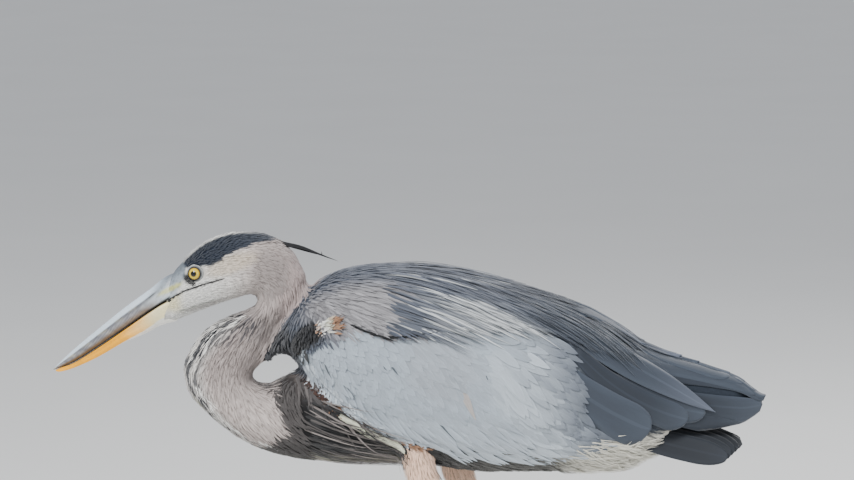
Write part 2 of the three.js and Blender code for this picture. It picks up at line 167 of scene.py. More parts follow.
def unwrap(obj, margin=0.004):
    """A map of the piece's own shape."""
    bpy.ops.object.select_all(action="DESELECT")
    obj.select_set(True)
    bpy.context.view_layer.objects.active = obj
    if not obj.data.uv_layers:
        obj.data.uv_layers.new(name="OFBake")
    bpy.ops.object.mode_set(mode="EDIT")
    bpy.ops.mesh.select_all(action="SELECT")
    bpy.ops.uv.smart_project(angle_limit=math.radians(66), island_margin=margin)
    bpy.ops.object.mode_set(mode="OBJECT")


def apply_modifiers(obj):
    depsgraph = bpy.context.evaluated_depsgraph_get()
    made = bpy.data.meshes.new_from_object(obj.evaluated_get(depsgraph))
    obj.modifiers.clear()
    obj.data = made


def subdivide(obj, levels):
    smoother = obj.modifiers.new("smoother", "SUBSURF")
    smoother.levels = smoother.render_levels = levels
    apply_modifiers(obj)


def edit_mesh(obj, change):
    """Runs a function on an editable copy of a piece's mesh and writes it back."""
    shape = bmesh.new()
    shape.from_mesh(obj.data)
    change(shape)
    shape.to_mesh(obj.data)
    shape.free()


def cut_above(obj, height):
    def cut(shape):
        high = [v for v in shape.verts if v.co.z > height * MM]
        bmesh.ops.delete(shape, geom=high, context="VERTS")

    edit_mesh(obj, cut)


def weld(obj):
    def join(shape):
        bmesh.ops.remove_doubles(shape, verts=shape.verts, dist=0.05 * MM)

    edit_mesh(obj, join)


def joined_copy(name, nodes):
    """One mesh of copies of some CAD nodes."""
    vertices, faces = [], []
    for node in nodes:
        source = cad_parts[node].data
        start = len(vertices)
        vertices += [tuple(v.co / MM) for v in source.vertices]
        faces += [[start + i for i in p.vertices] for p in source.polygons]
    return new_object(name, vertices, faces)


def remesh(obj, voxel, rounds):
    """Fuses a piece into one surface and softens it."""
    fuse = obj.modifiers.new("fuse", "REMESH")
    fuse.mode = "VOXEL"
    fuse.voxel_size = voxel * MM
    fuse.use_smooth_shade = True
    soften = obj.modifiers.new("soften", "SMOOTH")
    soften.factor = 0.5
    soften.iterations = rounds
    apply_modifiers(obj)


def finish_piece(obj, material, slot, *nodes):
    obj.data.materials.clear()
    obj.data.materials.append(material)
    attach(obj, "root")
    if nodes:
        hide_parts(*nodes)


def finish_tinted(obj, tint, material, slot, *nodes):
    """Finishes a piece that is coloured at its vertices."""
    add_tint(obj, tint)
    unwrap(obj)
    finish_piece(obj, material, slot, *nodes)


# ---------- Colours ----------

SLATE = linear("4d535f")
DARK_SLATE = linear("363d47")
DEEP_SLATE = linear("272d36")
BLACK = linear("101114")
WARM_GREY = linear("8d8b8d")
LANCE = linear("b4b8ba")
COVERT = linear("9ba5ae")
COVERT_PALE = linear("b9c2c9")
WEB = linear("a39d99")
# Painted shade for the gaps among the coverts.
COVERT_GAP_SHADE = linear("4b5359")
TAIL_DARK = linear("14171b")
TAIL_EDGE = linear("1e2228")
NECK = linear("9c918d")
NECK_PALE = linear("bdb2ac")
NECK_SHADE = linear("857d7a")
NAPE_PINK = linear("b5a39f")
WHITE = linear("e4e3de")
STREAK = linear("1b1e25")
STRIPE = linear("262d39")
BUFF = linear("c3b5a1")
# The breast's own dark colour, darkened further with painted shade.
BREAST_DARK = linear("242425")
BREAST_EDGE = linear("a8a58f")
RUST = linear("3a2117")
TUFT = linear("9c7558")
CREAM = linear("c4c5b0")
CINNAMON = linear("ecc8af")
VENT = linear("e3e0d2")
BELLY = linear("66655f")
CHIN_SHADE = linear("8f948b")
LORE = linear("a3adb6")
LORE_YELLOW = linear("d3d07a")
LORE_PALE = linear("c4ccd0")
BILL_CREAM = linear("e6dcae")
BILL_ORANGE = linear("ffb000")
BILL_BROWN = linear("59401f")
BILL_GREY = linear("8b8a8c")
# A painted highlight along the ridge of the bill.
BILL_RIDGE_HIGHLIGHT = linear("b4c0ca")
IRIS = linear("cdb32c")
IRIS_RAY = linear("a8871c")
IRIS_RIM = linear("8a5a16")
IRIS_CORE = linear("6b4a12")
LID = linear("b9bcbb")
LEG = linear("4d4a3c")
LEG_PALE = linear("8a8468")

# ---------- The skin ----------

HEAD, NECK_PART, TRUNK, WING, THIGH = range(5)
# The nodes of the bird's flesh, and the part of the coat that lies over each.
PARTS = {
    "head": HEAD,
    "neck_upper": NECK_PART,
    "neck_middle": NECK_PART,
    "neck_lower": NECK_PART,
    "trunk": TRUNK,
    "wing_left": WING,
    "wing_right": WING,
    "thigh_left": THIGH,
    "thigh_right": THIGH,
}
COAT = 2.2  # depth of the feathers over the skin
VOXEL = 2.4  # grain of the fused skin
WING_END = (298, 325)  # where the folded wings close toward their tips
# The line that runs through the folded wings: x and z.
HOOD_AXIS = [(60, 402), (150, 392), (200, 388), (250, 384), (290, 380), (330, 377)]


def make_skin():
    """The bird's flesh in one surface, under the coat: closer on the face, drawn in at the bill."""
    skin = joined_copy("skin", PARTS)
    remesh(skin, VOXEL, 4)
    points = points_of(skin)
    face = smooth(points[:, 0], -214, -165)
    under_bill = fall(points[:, 0], -223, -215)
    crown = smooth(points[:, 2], 505, 520)
    depth = COAT * (0.1 + 0.9 * face) * (1 - 0.5 * crown) + 2 * under_bill
    points = points - normals_of(skin) * depth[:, None]
    closing = smooth(points[:, 0], *WING_END)
    points[:, 1] *= 1 - 0.85 * closing
    points[:, 2] += 0.6 * closing * (along_line(points[:, 0], HOOD_AXIS) - points[:, 2])
    move_points(skin, points)
    return skin


class Surface:
    """The skin as a surface to lay feathers on."""

    def __init__(self, obj):
        self.points = points_of(obj)
        polygons = [tuple(p.vertices) for p in obj.data.polygons]
        self.tree = BVHTree.FromPolygons(self.points.tolist(), polygons)
        normals = normals_of(obj)
        quads = np.array([q if len(q) == 4 else (*q, q[-1]) for q in polygons])
        self.face_normals = unit(normals[quads].mean(1))
        self.face_corners = self.points[quads]

    def nearest(self, points):
        """The skin's points and soft normals nearest to some points, and their faces."""
        spots = np.empty((len(points), 3))
        index = np.empty(len(points), int)
        for i, point in enumerate(points.tolist()):
            spot, _, index[i], _ = self.tree.find_nearest(point)
            spots[i] = spot
        return spots, self.face_normals[index], index

    def scatter(self, each):
        """Seeded points over the whole skin, `each` to a face, with their faces."""
        corners = np.repeat(self.face_corners, each, axis=0)
        index = np.repeat(np.arange(len(self.face_corners)), each)
        s, t = RNG.random((2, len(index), 1))
        low = corners[:, 0] * (1 - s) + corners[:, 1] * s
        high = corners[:, 3] * (1 - s) + corners[:, 2] * s
        order = RNG.permutation(len(index))
        return (low * (1 - t) + high * t)[order], index[order]


skin = make_skin()
unwrap(skin)
surface = Surface(skin)


def face_uvs(obj):
    """The middle of each face on the skin's map."""
    uv = np.empty(len(obj.data.loops) * 2)
    obj.data.uv_layers["OFBake"].data.foreach_get("uv", uv)
    uv = uv.reshape(-1, 2)
    starts = np.array([p.loop_start for p in obj.data.polygons])
    totals = np.array([p.loop_total for p in obj.data.polygons])
    return np.add.reduceat(uv, starts, axis=0) / totals[:, None]


SKIN_UV = face_uvs(skin)


def thin_out(points, spacing):
    """Indices of points, in order, that keep `spacing` between them."""
    cells = {}
    kept = []
    keys = np.floor(points / spacing).astype(int)
    for i, (point, key) in enumerate(zip(points.tolist(), keys.tolist())):
        near = (
            other
            for a in (-1, 0, 1)
            for b in (-1, 0, 1)
            for c in (-1, 0, 1)
            for other in cells.get((key[0] + a, key[1] + b, key[2] + c), ())
        )
        if all(math.dist(point, other) > spacing for other in near):
            cells.setdefault(tuple(key), []).append(point)
            kept.append(i)
    return np.array(kept, int)


# ---------- The lie and the colours of the coat ----------

LEAN = 0.14  # the markings' height falls with distance from the middle of the bird

# Guides for the lie of the feathers: x, height and angle above the +X direction.
NECK_LIE = [
    (-207, 504, 18), (-179, 523, 22), (-147, 534, 0), (-120, 526, -28), (-101, 507, -62),
    (-156, 495, -5), (-193, 481, 14), (-156, 481, -8), (-133, 500, -25), (-120, 481, -75),
    (-101, 486, -95), (-143, 472, -125), (-115, 463, -112), (-160, 448, -128), (-134, 441, -118),
    (-147, 416, -112), (-192, 422, -105), (-200, 402, -92), (-179, 376, -68), (-160, 396, -75),
    (-136, 379, -60), (-166, 344, -45), (-141, 363, -48), (-121, 350, -32),
]
BODY_LIE = [
    (-92, 481, -32), (-99, 444, -80), (-55, 495, -18), (-28, 504, -6), (28, 502, -8),
    (83, 486, -15), (156, 464, -24), (212, 430, -32), (-28, 472, -22), (18, 472, -20),
    (64, 453, -22), (120, 444, -27), (-97, 421, -62), (-83, 407, -60), (-64, 379, -48),
    (-64, 425, -45), (-28, 407, -54), (-28, 360, -45), (18, 430, -45), (28, 388, -56),
    (28, 342, -42), (83, 398, -54), (83, 346, -38), (129, 435, -35), (138, 379, -42),
    (138, 342, -25), (193, 379, -35), (267, 388, -25), (322, 384, -22), (9, 314, -8),
    (83, 312, -4), (156, 319, -8), (221, 323, -12), (-110, 379, -25), (-101, 342, -10),
    (-55, 333, -8), (-18, 319, -12), (-74, 356, -6), (-110, 323, -18), (-147, 335, -32),
]


def side_view(points):
    """x and height as they are seen from the side, a little from above."""
    return points[:, 0], points[:, 2] - LEAN * np.abs(points[:, 1])


def lie_of(points, guides):
    """The direction of the feathers at some points, in the plane of symmetry."""
    x, h = side_view(points)
    table = np.array(guides, float)
    gap = (x[:, None] - table[:, 0]) ** 2 + (h[:, None] - table[:, 1]) ** 2
    weight = 1 / (gap + 30) ** 1.5
    angle = np.radians(table[:, 2])
    heading = np.stack([weight @ np.cos(angle), 0 * x, weight @ np.sin(angle)], 1)
    return unit(heading)


def direction_at(points, normals, part):
    heading = lie_of(points, BODY_LIE)
    along_neck = part <= NECK_PART
    heading[along_neck] = lie_of(points[along_neck], NECK_LIE)
    heading[part == THIGH] = unit(np.array([0.28, 0, -0.96]))
    on_back = (part == TRUNK) * smooth(normals[:, 2], 0.3, 0.9)
    heading[:, 1] += 0.3 * on_back * np.sign(points[:, 1]) * smooth(np.abs(points[:, 1]), 0, 20)
    return unit(heading)


def patch(x, h, middle, size, turn=0, soft=0.35):
    """1 inside an ellipse and 0 outside, with a soft edge."""
    angle = math.radians(turn)
    dx, dh = x - middle[0], h - middle[1]
    along = dx * math.cos(angle) + dh * math.sin(angle)
    over = -dx * math.sin(angle) + dh * math.cos(angle)
    reach = np.hypot(along / size[0], over / size[1])
    return 1 - smooth(reach, 1 - soft, 1 + soft)


CROWN_LINE = [(-212, 501), (-188, 503), (-178, 506), (-170, 512), (-158, 519), (-140, 526), (-118, 531)]
GAPE_LINE = [(-231, 466.8), (-216, 475.4), (-207, 480.6), (-188, 487), (-174, 491)]
LORE_EDGE = [(476, -216), (486, -210), (496, -206), (504, -206), (510, -212)]
# Where the pale lower neck meets the dark breast, along the edge of a cast shadow: the neck in front is
# partly painted light and the dark behind is partly painted shadow.
BIB_SHADOW_EDGE = [(325, -170), (333, -155), (341, -130), (352, -115), (366, -119), (380, -126), (400, -132)]
# The upper edge of the pale coverts, from the bend of the wing to their rear end.
COVERT_TOP = [
    (-106, 400), (-101, 415), (-97, 427), (-85, 433), (-62, 439), (-56, 451), (-40, 444), (-23, 438.5),
    (0, 439.5), (16, 442), (41, 446), (75, 448), (109, 444), (138, 433), (166, 424), (212, 408),
]
WING_EDGE = [(-101, 415), (-95, 402), (-84, 391), (-73, 381), (-61, 369), (-44, 355), (-27, 347), (-6, 342)]
CREAM_LINE = [(-71, 373), (-46, 356), (-20, 344)]
RUST_SPOT = [(-12, 340), (4, 338), (14, 336)]
TUFT_LINE = [(-87, 443), (-78, 447), (-67, 452)]
LANCE_TOP = [(19, 479), (58, 477), (84, 469), (110, 453), (132, 438)]
BACK_TOP = [(-110, 460), (-90, 487), (-60, 500), (0, 508), (60, 500), (120, 478), (200, 440)]


def gape_crease_shade(x, h):
    """The line of the closed mouth, which runs back under the eye: painted shade in its crease."""
    gap = np.abs(h - along_line(x, GAPE_LINE))
    return fall(gap, 0.6, 1.5) * fall(x, -180, -172)


def on_lore(x, h):
    """The bare skin between the eye and the bill."""
    ahead = along_line(h, LORE_EDGE) - x
    return smooth(ahead, -1, 1) * smooth(h - along_line(x, GAPE_LINE), 0, 1.5) * fall(h, 508, 512)


def lore_colour(x, y, h):
    """The marks of the bare skin, which run on over the root of the bill."""
    return painted(
        LORE_PALE,
        (LORE, smooth(h - 0.45 * x, 580, 588)),
        (STRIPE, 0.45 * smooth(h - 0.45 * x, 586, 596)),
        (LORE_YELLOW, 0.8 * patch(x, h, (-219.5, 482.5), (13, 2.1), 26)),
        (STRIPE, 0.35 * smooth(wobble(np.c_[x, y, h], 3.2, 12), 0.35, 0.8)),
    )


def head_colour(x, y, h):
    stripe = smooth(h - along_line(x, CROWN_LINE) + 1.2 * wobble(np.c_[x, y, h], 9, 3), -1.2, 1.2)
    stripe *= smooth(x, -214, -206) * fall(x, -126, -112)
    crown = fall(np.abs(y), 2.5, 6) * fall(x, -170, -140)
    jaw = fall(x, -217, -206) * fall(h - along_line(x, GAPE_LINE), -1, 1)
    return painted(
        WHITE,
        (NECK_PALE, smooth(x, -190, -140)),
        (NECK, smooth(x, -160, -118)),
        (NECK_SHADE, 0.6 * patch(x, h, (-130, 494), (16, 26), 20)),
        (NAPE_PINK, 0.7 * smooth(x, -118, -104)),
        (BUFF, 0.75 * patch(x, h, (-166, 505), (24, 8), 22)),
        (STRIPE, stripe),
        (WHITE, crown * smooth(h, 500, 515)),
        (NECK_SHADE, 0.5 * patch(x, h, (-190, 467), (24, 2.5), 16)),
        (lore_colour(x, y, h), on_lore(x, h)),
        (BILL_CREAM, 0.8 * jaw * smooth(h, 458, 466)),
        # Painted shade in the crease of the mouth.
        (BLACK, 0.92 * gape_crease_shade(x, h)),
        (BLACK, 0.9 * patch(x, h, (-202.5, 491), (6.5, 4.2), -38, 0.25)),
    )


def throat_streak(x, h):
    """The short dark streaks below the throat."""
    wave = np.sin(0.55 * (x + h) + 0.2 * x)
    return patch(x, h, (-158, 443), (26, 9), 22) * smooth(wave, 0.1, 0.6)


NECK_FRONT = [(325, -134), (345, -172), (372, -196), (400, -206), (420, -201), (440, -182), (455, -165)]
NECK_LOW = [(-200, 380), (-182, 350), (-165, 339), (-140, 333), (-100, 324)]
# Dark streaks down the front of the neck, in the side view.
NECK_STREAKS = [
    [(-176, 451), (-183, 441), (-189, 427)], [(-189, 446), (-196, 436), (-201, 424)],
    [(-143, 465), (-152, 459), (-163, 452)], [(-163, 457), (-174, 454), (-184, 448)],
    [(-202, 396), (-192, 379), (-180, 363), (-158, 344), (-134, 336)],
    [(-197, 384), (-188, 369), (-174, 352), (-152, 339)],
]


def neck_colour(x, y, h):
    depth = x - along_line(h, NECK_FRONT)
    streaks = 0.5 + 0.5 * np.sin(0.85 * depth + 3 * wobble(np.c_[x, y, h], 40, 5))
    streaks = smooth(streaks, 0.5, 0.7) * fall(depth, 6, 17) * smooth(h, 335, 395)
    streaks = np.maximum(streaks, 0.9 * throat_streak(x, h))
    # Behind the edge: the breast's dark colour, partly painted shadow cast by the body and wing.
    behind = smooth(x - along_line(h, BIB_SHADOW_EDGE), -1, 2) * fall(h, 398, 406)
    return painted(
        NECK,
        # Paler toward the base of the neck: partly its own paler plumes, partly painted light.
        (NECK_PALE, smooth(h, 420, 360) * 0.8),
        (NECK_SHADE, 0.55 * patch(x, h, (-142, 452), (14, 30), 60)),
        (NAPE_PINK, 0.6 * patch(x, h, (-108, 487), (14, 30), 0)),
        (WHITE, 0.6 * fall(depth, 4, 22) * smooth(h, 330, 360)),
        (mix(STRIPE, BLACK, 0.45), 0.88 * streaks),
        (BREAST_EDGE, 0.7 * fall(h - along_line(x, NECK_LOW), -1, 5)),
        (BREAST_DARK, 0.9 * behind),
    )


def breast_colour(x, h):
    return painted(
        BREAST_DARK,
        (NECK_SHADE, 0.5 * smooth(h, 370, 400)),
        # Black flank feathers in front of the thigh, deepened by painted shade between the breast and the
        # thigh.
        (BLACK, 0.8 * smooth(x, -32, -14) * fall(h, 336, 346)),
        (BREAST_EDGE, fall(h, 318, 334) * fall(x, -20, 10)),
        (NECK_PALE, fall(x - along_line(h, BIB_SHADOW_EDGE), -2, 2)),
    )


def pale_lances(x, h):
    """Where the long pale plumes hang from the shoulder."""
    return smooth(along_line(x, LANCE_TOP) - h, -4, 7) * smooth(x, -10, 50) * fall(x, 112, 140)


def back_colour(x, h):
    drop = along_line(x, BACK_TOP) - h
    # Painted shade in the dark recess between the neck and the shoulder.
    shade_behind_neck = fall(x, -112, -98) * fall(h, 440, 462)
    return painted(
        SLATE,
        (DARK_SLATE, smooth(x, 60, 180)),
        (WARM_GREY, 0.9 * patch(x, h, (-42, 464), (62, 32), -14) * smooth(drop, 8, 24)),
        (BREAST_DARK, 0.85 * shade_behind_neck),
        (LANCE, 0.7 * pale_lances(x, h)),
    )


def belly_colour(x, h):
    return painted(
        BREAST_DARK,
        (BELLY, 0.7 * smooth(x, 0, 90)),
        (VENT, smooth(x + 0.5 * (h - 330), 122, 144)),
        (DARK_SLATE, smooth(h, 344, 350) * smooth(x, 200, 212)),
    )


def rearward(x, h):
    """How far back a point lies across the wing, along its rows of feathers."""
    return x + 0.35 * (h - 390)


def wing_colour(x, h):
    return painted(
        COVERT,
        (COVERT_PALE, smooth(h, 380, 335) * 0.8),
        (COVERT_PALE, 0.6 * patch(x, h, (110, 405), (45, 40))),
        (WARM_GREY, 0.25 * patch(x, h, (25, 415), (30, 30))),
        # Darker toward the rear, where the coverts give way to the dark flight feathers; the mid-grey
        # between is partly painted shade.
        (DARK_SLATE, smooth(rearward(x, h), 122, 160)),
    )


def black_mark(x, h):
    """The dark patch at the bend of the wing."""
    return smooth(h - along_line(x, COVERT_TOP), -1, 2) * patch(x, h, (-94, 437), (19, 11), 47, 0.2)


BELLY_LINE = [(-150, 420), (-90, 400), (-30, 350), (120, 345), (330, 372)]
BARE_LEG = 232  # height below which the legs have no feathers


def colour_at(points, part):
    """The markings: the colour of skin and coat at some points of the bird."""
    x, h = side_view(points)
    y = points[:, 1]
    low = fall(h - along_line(x, BELLY_LINE), -3, 3)
    breast = low * fall(x, -5, 12)
    trunk = painted(back_colour(x, h), (belly_colour(x, h), low), (breast_colour(x, h), breast))
    colour = np.where((part == TRUNK)[:, None], trunk, 0)
    colour = np.where((part == WING)[:, None], wing_colour(x, h), colour)
    on_body = (part == TRUNK) | (part == WING)
    colour = mix(colour, BLACK, 0.97 * on_body * black_mark(x, h))
    colour = np.where((part == HEAD)[:, None], head_colour(x, y, h), colour)
    colour = np.where((part == NECK_PART)[:, None], neck_colour(x, y, h), colour)
    thigh = mix(CINNAMON, LEG, fall(points[:, 2], BARE_LEG - 6, BARE_LEG))
    return np.where((part == THIGH)[:, None], thigh, colour)


def part_of(points):
    """Which part of the bird each point belongs to, by the nearest CAD node."""
    best = np.full(len(points), 1e9)
    part = np.zeros(len(points), int)
    for node, label in PARTS.items():
        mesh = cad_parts[node].data
        corners = [tuple(v.co / MM) for v in mesh.vertices]
        tree = BVHTree.FromPolygons(corners, [tuple(p.vertices) for p in mesh.polygons])
        found = [tree.find_nearest(p, 60)[3] for p in points.tolist()]
        gap = np.array([1e9 if d is None else d for d in found])
        part[gap < best] = label
        best = np.minimum(best, gap)
    x, h = side_view(points)
    above = h - along_line(x, COVERT_TOP)
    on_body = (x > -97) & (x < 200)
    part[(part == WING) & on_body & (above > 0)] = TRUNK
    part[(part == TRUNK) & on_body & (above <= 0) & (above > -14)] = WING
    part[(part == WING) & (x < -6) & (h < along_line(x, WING_EDGE))] = TRUNK
    return part


skin_part = part_of(surface.face_corners.mean(1))


# ---------- Feathers ----------

PATCH = 0.003  # width of each feather's place on the OFBake map


def blade_widths(t, form):
    """Half-width along a feather as a fraction of its greatest."""
    if form == "oval":
        return 0.5 * (1 - t) + np.sin(np.pi * np.minimum(t, 1) ** 0.8) ** 0.7 * (1 - 0.5 * (1 - t))
    if form == "lance":
        return np.where(t < 0.3, 0.6 + 0.4 * np.sin(t / 0.3 * np.pi / 2), (1 - t) ** 0.7 / 0.7**0.7)
    if form == "blade":
        swell = 0.6 + 0.4 * np.sin(np.minimum(t / 0.7, 1) * np.pi / 2)
        return swell * np.sqrt(np.maximum(1 - np.maximum((t - 0.8) / 0.2, 0) ** 2, 0.0004))
    swell = 0.55 + 0.45 * np.sin(np.minimum(t / 0.6, 1) * np.pi / 2)
    if form == "point":
        return swell * (1 - np.maximum((t - 0.35) / 0.65, 0) ** 2.2)
    end = np.sqrt(np.maximum(1 - np.maximum((t - 0.7) / 0.3, 0) ** 2.2, 0))
    return swell * end


def stations(count):
    """Fractions of a feather's length, closer toward its tip."""
    t = np.linspace(0, 1, count)
    return 1 - (1 - t) ** 1.35


class Layer:
    """Feathers of one kind, gathered into one mesh."""

    def __init__(self, form, rows, columns, rise, arch, pull=0.5, root_lift=-0.6, ragged=0.1):
        self.form = form
        self.ragged = ragged
        self.t = stations(rows)
        self.across = np.linspace(-1, 1, columns)
        self.rise = rise  # height of the tip over the skin
        self.arch = arch  # fall of the edges below the shaft, as a fraction of the width
        self.pull = pull  # how closely a feather follows a hollow
        self.root_lift = root_lift
        self.grids, self.tints, self.vanes, self.uvs = [], [], [], []

    def lay(self, roots, face, heading, length, width, tint, tip_tint=None):
        """Adds feathers that start at `roots` and lie along the skin."""
        count = len(roots)
        normal = surface.face_normals[face]
        ahead = unit(heading - (heading * normal).sum(1, keepdims=True) * normal)
        chance = RNG.random((count, 1))
        spot = roots.copy()
        centres, ups = [], []
        for k, t in enumerate(self.t):
            lift = self.root_lift + (self.rise * (0.7 + 0.6 * chance) - self.root_lift) * t**0.8
            if k:
                step = (t - self.t[k - 1]) * length[:, None]
                reach = spot + ahead * step
                skin_spot, skin_normal, _ = surface.nearest(reach)
                height = ((reach - skin_spot) * skin_normal).sum(1, keepdims=True)
                change = np.where(height < lift, lift - height, (lift - height) * self.pull)
                moved = reach + skin_normal * change
                ahead = unit(moved - spot)
                normal = unit(normal + skin_normal)
                spot = spot + ahead * step
            else:
                spot = spot + normal * lift
            centres.append(spot)
            ups.append(normal - (normal * ahead).sum(1, keepdims=True) * ahead)
        self.add(np.stack(centres, 1), unit(np.stack(ups, 1)), width, tint, tip_tint, face)

    def add(self, centres, ups, width, tint, tip_tint, face):
        """Adds feathers by the points of their shafts and the way their faces look."""
        count, rows = centres.shape[:2]
        along = unit(np.gradient(centres, axis=1))
        side = unit(np.cross(ups, along))
        half = (width[:, None] / 2) * blade_widths(self.t, self.form)
        ragged = 1 + self.ragged * RNG.normal(size=(count, rows, len(self.across)))
        reach = half[:, :, None] * self.across * ragged
        drop = self.arch * width[:, None, None] * self.across**2
        grid = centres[:, :, None] + side[:, :, None] * reach[..., None]
        grid = grid - ups[:, :, None] * drop[..., None]
        shape = (count, rows, len(self.across))
        along_t = np.broadcast_to(self.t[None, :, None], shape)
        chance = np.broadcast_to(RNG.random((count, 1, 1)), shape)
        vane = np.stack([np.broadcast_to(self.across, shape), along_t, chance], -1)
        tip_tint = tint if tip_tint is None else tip_tint
        colour = tint[:, None, None] + (tip_tint - tint)[:, None, None] * along_t[..., None]
        place = SKIN_UV[face][:, None, None]
        spread = np.stack([np.broadcast_to(self.across / 2, shape), along_t - 0.5], -1)
        self.grids.append(grid)
        self.tints.append(colour)
        self.vanes.append(vane)
        self.uvs.append((np.broadcast_to(place, (*shape, 2)), spread))

    def mesh(self, name, uv):
        """One mesh of all the feathers, each a grid of points."""
        grid = np.concatenate(self.grids)
        count, rows, columns = grid.shape[:3]
        first = np.arange(count)[:, None, None] * rows * columns
        corner = first + np.arange(rows - 1)[:, None] * columns + np.arange(columns - 1)
        faces = np.stack([corner, corner + 1, corner + columns + 1, corner + columns], -1)
        obj = new_object(name, grid.reshape(-1, 3), faces.reshape(-1, 4).tolist())
        add_tint(obj, np.concatenate(self.tints).reshape(-1, 3))
        add_vane(obj, np.concatenate(self.vanes))
        add_uv(obj, uv.reshape(-1, 2))
        return obj

    def build(self, name, material, slot):
        place = np.concatenate([u[0] for u in self.uvs])
        spread = np.concatenate([u[1] for u in self.uvs])
        low, high = place.min((0, 1, 2)), place.max((0, 1, 2))
        place = 0.01 + 0.98 * (place - low) / (high - low)
        obj = self.mesh(name, np.clip(place + PATCH * spread, 0, 1))
        finish_piece(obj, material, slot)


BLADE = 0.5  # thickness of a long feather


class Blades(Layer):
    """Long feathers, each with a place of its own on the OFBake map."""

    def add_grid(self, grid, tint, tip_tint):
        rows, columns = grid.shape[:2]
        shape = (rows, columns)
        t = np.broadcast_to(self.t[:, None], shape)
        across = np.broadcast_to(self.across, shape)
        self.grids.append(grid[None])
        self.tints.append(mix(tint, tip_tint, smooth(t, 0.55, 1))[None])
        self.vanes.append(np.stack([across, t, np.full(shape, RNG.random())], -1)[None])
        self.uvs.append(np.stack([0.5 + 0.45 * across, 0.05 + 0.9 * t], -1)[None])

    def build(self, name, material, slot, *nodes):
        count = len(self.grids)
        across = math.ceil(math.sqrt(count))
        cell = np.stack([np.arange(count) % across, np.arange(count) // across], -1)
        obj = self.mesh(name, (cell[:, None, None] + np.concatenate(self.uvs)) / across)
        solid = obj.modifiers.new("thickness", "SOLIDIFY")
        solid.thickness = BLADE * MM
        solid.offset = -1
        apply_modifiers(obj)
        finish_piece(obj, material, slot, *nodes)


def jitter(size, spread):
    return 1 + spread * RNG.normal(size=size).clip(-2, 2)


def turned(heading, normal, angle):
    """Directions turned about the surface normal by small angles."""
    side = np.cross(normal, heading)
    return unit(heading + side * np.tan(angle)[:, None])


CANDIDATES, CANDIDATE_FACES = surface.scatter(4)
CANDIDATE_PARTS = skin_part[CANDIDATE_FACES]


def roots_where(wanted, spacing):
    """Points, faces and parts of well-spaced roots among the wanted candidates."""
    index = np.flatnonzero(wanted)
    index = index[thin_out(CANDIDATES[index], spacing)]
    return CANDIDATES[index], CANDIDATE_FACES[index], CANDIDATE_PARTS[index]


def aimed_roots(wanted, spacing, messy):
    """Roots among the wanted candidates, and the way each feather points."""
    roots, face, part = roots_where(wanted, spacing)
    normal = surface.face_normals[face]
    heading = turned(direction_at(roots, normal, part), normal, messy * RNG.normal(size=len(roots)))
    return roots, face, part, heading


def cover(layer, wanted, spacing, length, width, messy=0.09, shade=0.06):
    """Covers an area with feathers of one layer; length and width may vary with the place."""
    roots, face, part, heading = aimed_roots(wanted, spacing, messy)
    lengths = (length(roots) if callable(length) else length) * jitter(len(roots), 0.12)
    widths = (width(roots) if callable(width) else width) * jitter(len(roots), 0.12)
    middle = roots + heading * 0.45 * lengths[:, None]
    tint = colour_at(middle, part) * jitter((len(roots), 1), shade)
    layer.lay(roots, face, heading, lengths, widths, tint)


SIDE_RAY = unit(np.array([0, 1, -LEAN]))


def on_side(x, h):
    """Points of the left side of the skin that are seen at (x, h)."""
    points = np.empty((len(x), 3))
    for i in range(len(x)):
        start = np.array([x[i], -400, h[i] + LEAN * 400])
        spot = surface.tree.ray_cast(start.tolist(), SIDE_RAY.tolist())[0]
        if spot is None:
            spot = surface.tree.find_nearest([x[i], -20, h[i] + LEAN * 20])[0]
        points[i] = spot
    return points


def follow(layer, route, spacing, length, width, tint, offset=0.0, messy=0.0):
    """Lays small feathers one behind the other along a line in the side view, on both sides.

    `offset` is their distance to the left of the line, and `tint` one colour or a row of them.
    """
    route = np.array(route, float)
    way = np.r_[0, np.cumsum(np.linalg.norm(np.diff(route, axis=0), axis=1))]
    at = np.arange(0, way[-1], spacing)
    share = at / way[-1]
    ahead = unit(np.stack([np.interp(at + 1, way, c) - np.interp(at - 1, way, c) for c in route.T], 1))
    x = np.interp(at, way, route[:, 0]) - ahead[:, 1] * offset
    h = np.interp(at, way, route[:, 1]) + ahead[:, 0] * offset
    tints = np.atleast_2d(tint)
    colour = np.stack([np.interp(share, np.linspace(0, 1, len(tints)), c) for c in tints.T], 1)
    x = x + 4 * messy * RNG.normal(size=len(x))
    h = h + 4 * messy * RNG.normal(size=len(x))
    heading = np.stack([ahead[:, 0], 0 * x, ahead[:, 1]], 1)
    for side in (1, -1):
        roots, normal, face = surface.nearest(on_side(x, h) * [1, side, 1])
        aim = turned(heading, normal, messy * RNG.normal(size=len(x)))
        shade = colour * jitter((len(x), 1), 0.1)
        layer.lay(roots, face, aim, length * jitter(len(x), messy), width * jitter(len(x), messy), shade)


CX, CH = side_view(CANDIDATES)
ROOM = CH - along_line(CX, COVERT_TOP)  # height over the edge of the coverts
ON_TRUNK = CANDIDATE_PARTS == TRUNK
ON_WING = CANDIDATE_PARTS == WING


def ramp(start, end, low, high):
    """A size that goes from `low` to `high` with x."""
    return lambda points: low + (high - low) * smooth(points[:, 0], start, end)


EYE_AT = np.array([-196.4, -12.2, 498.5])  # middle of the left eye
CHIN_LINE = [(-214, 461), (-197, 466.5), (-180, 472.5)]
TEARDROP = [(-207, 494), (-203, 490), (-199, 487)]
EYE_OPENING = 7.8  # no feathers grow closer than this to the middle of the eye


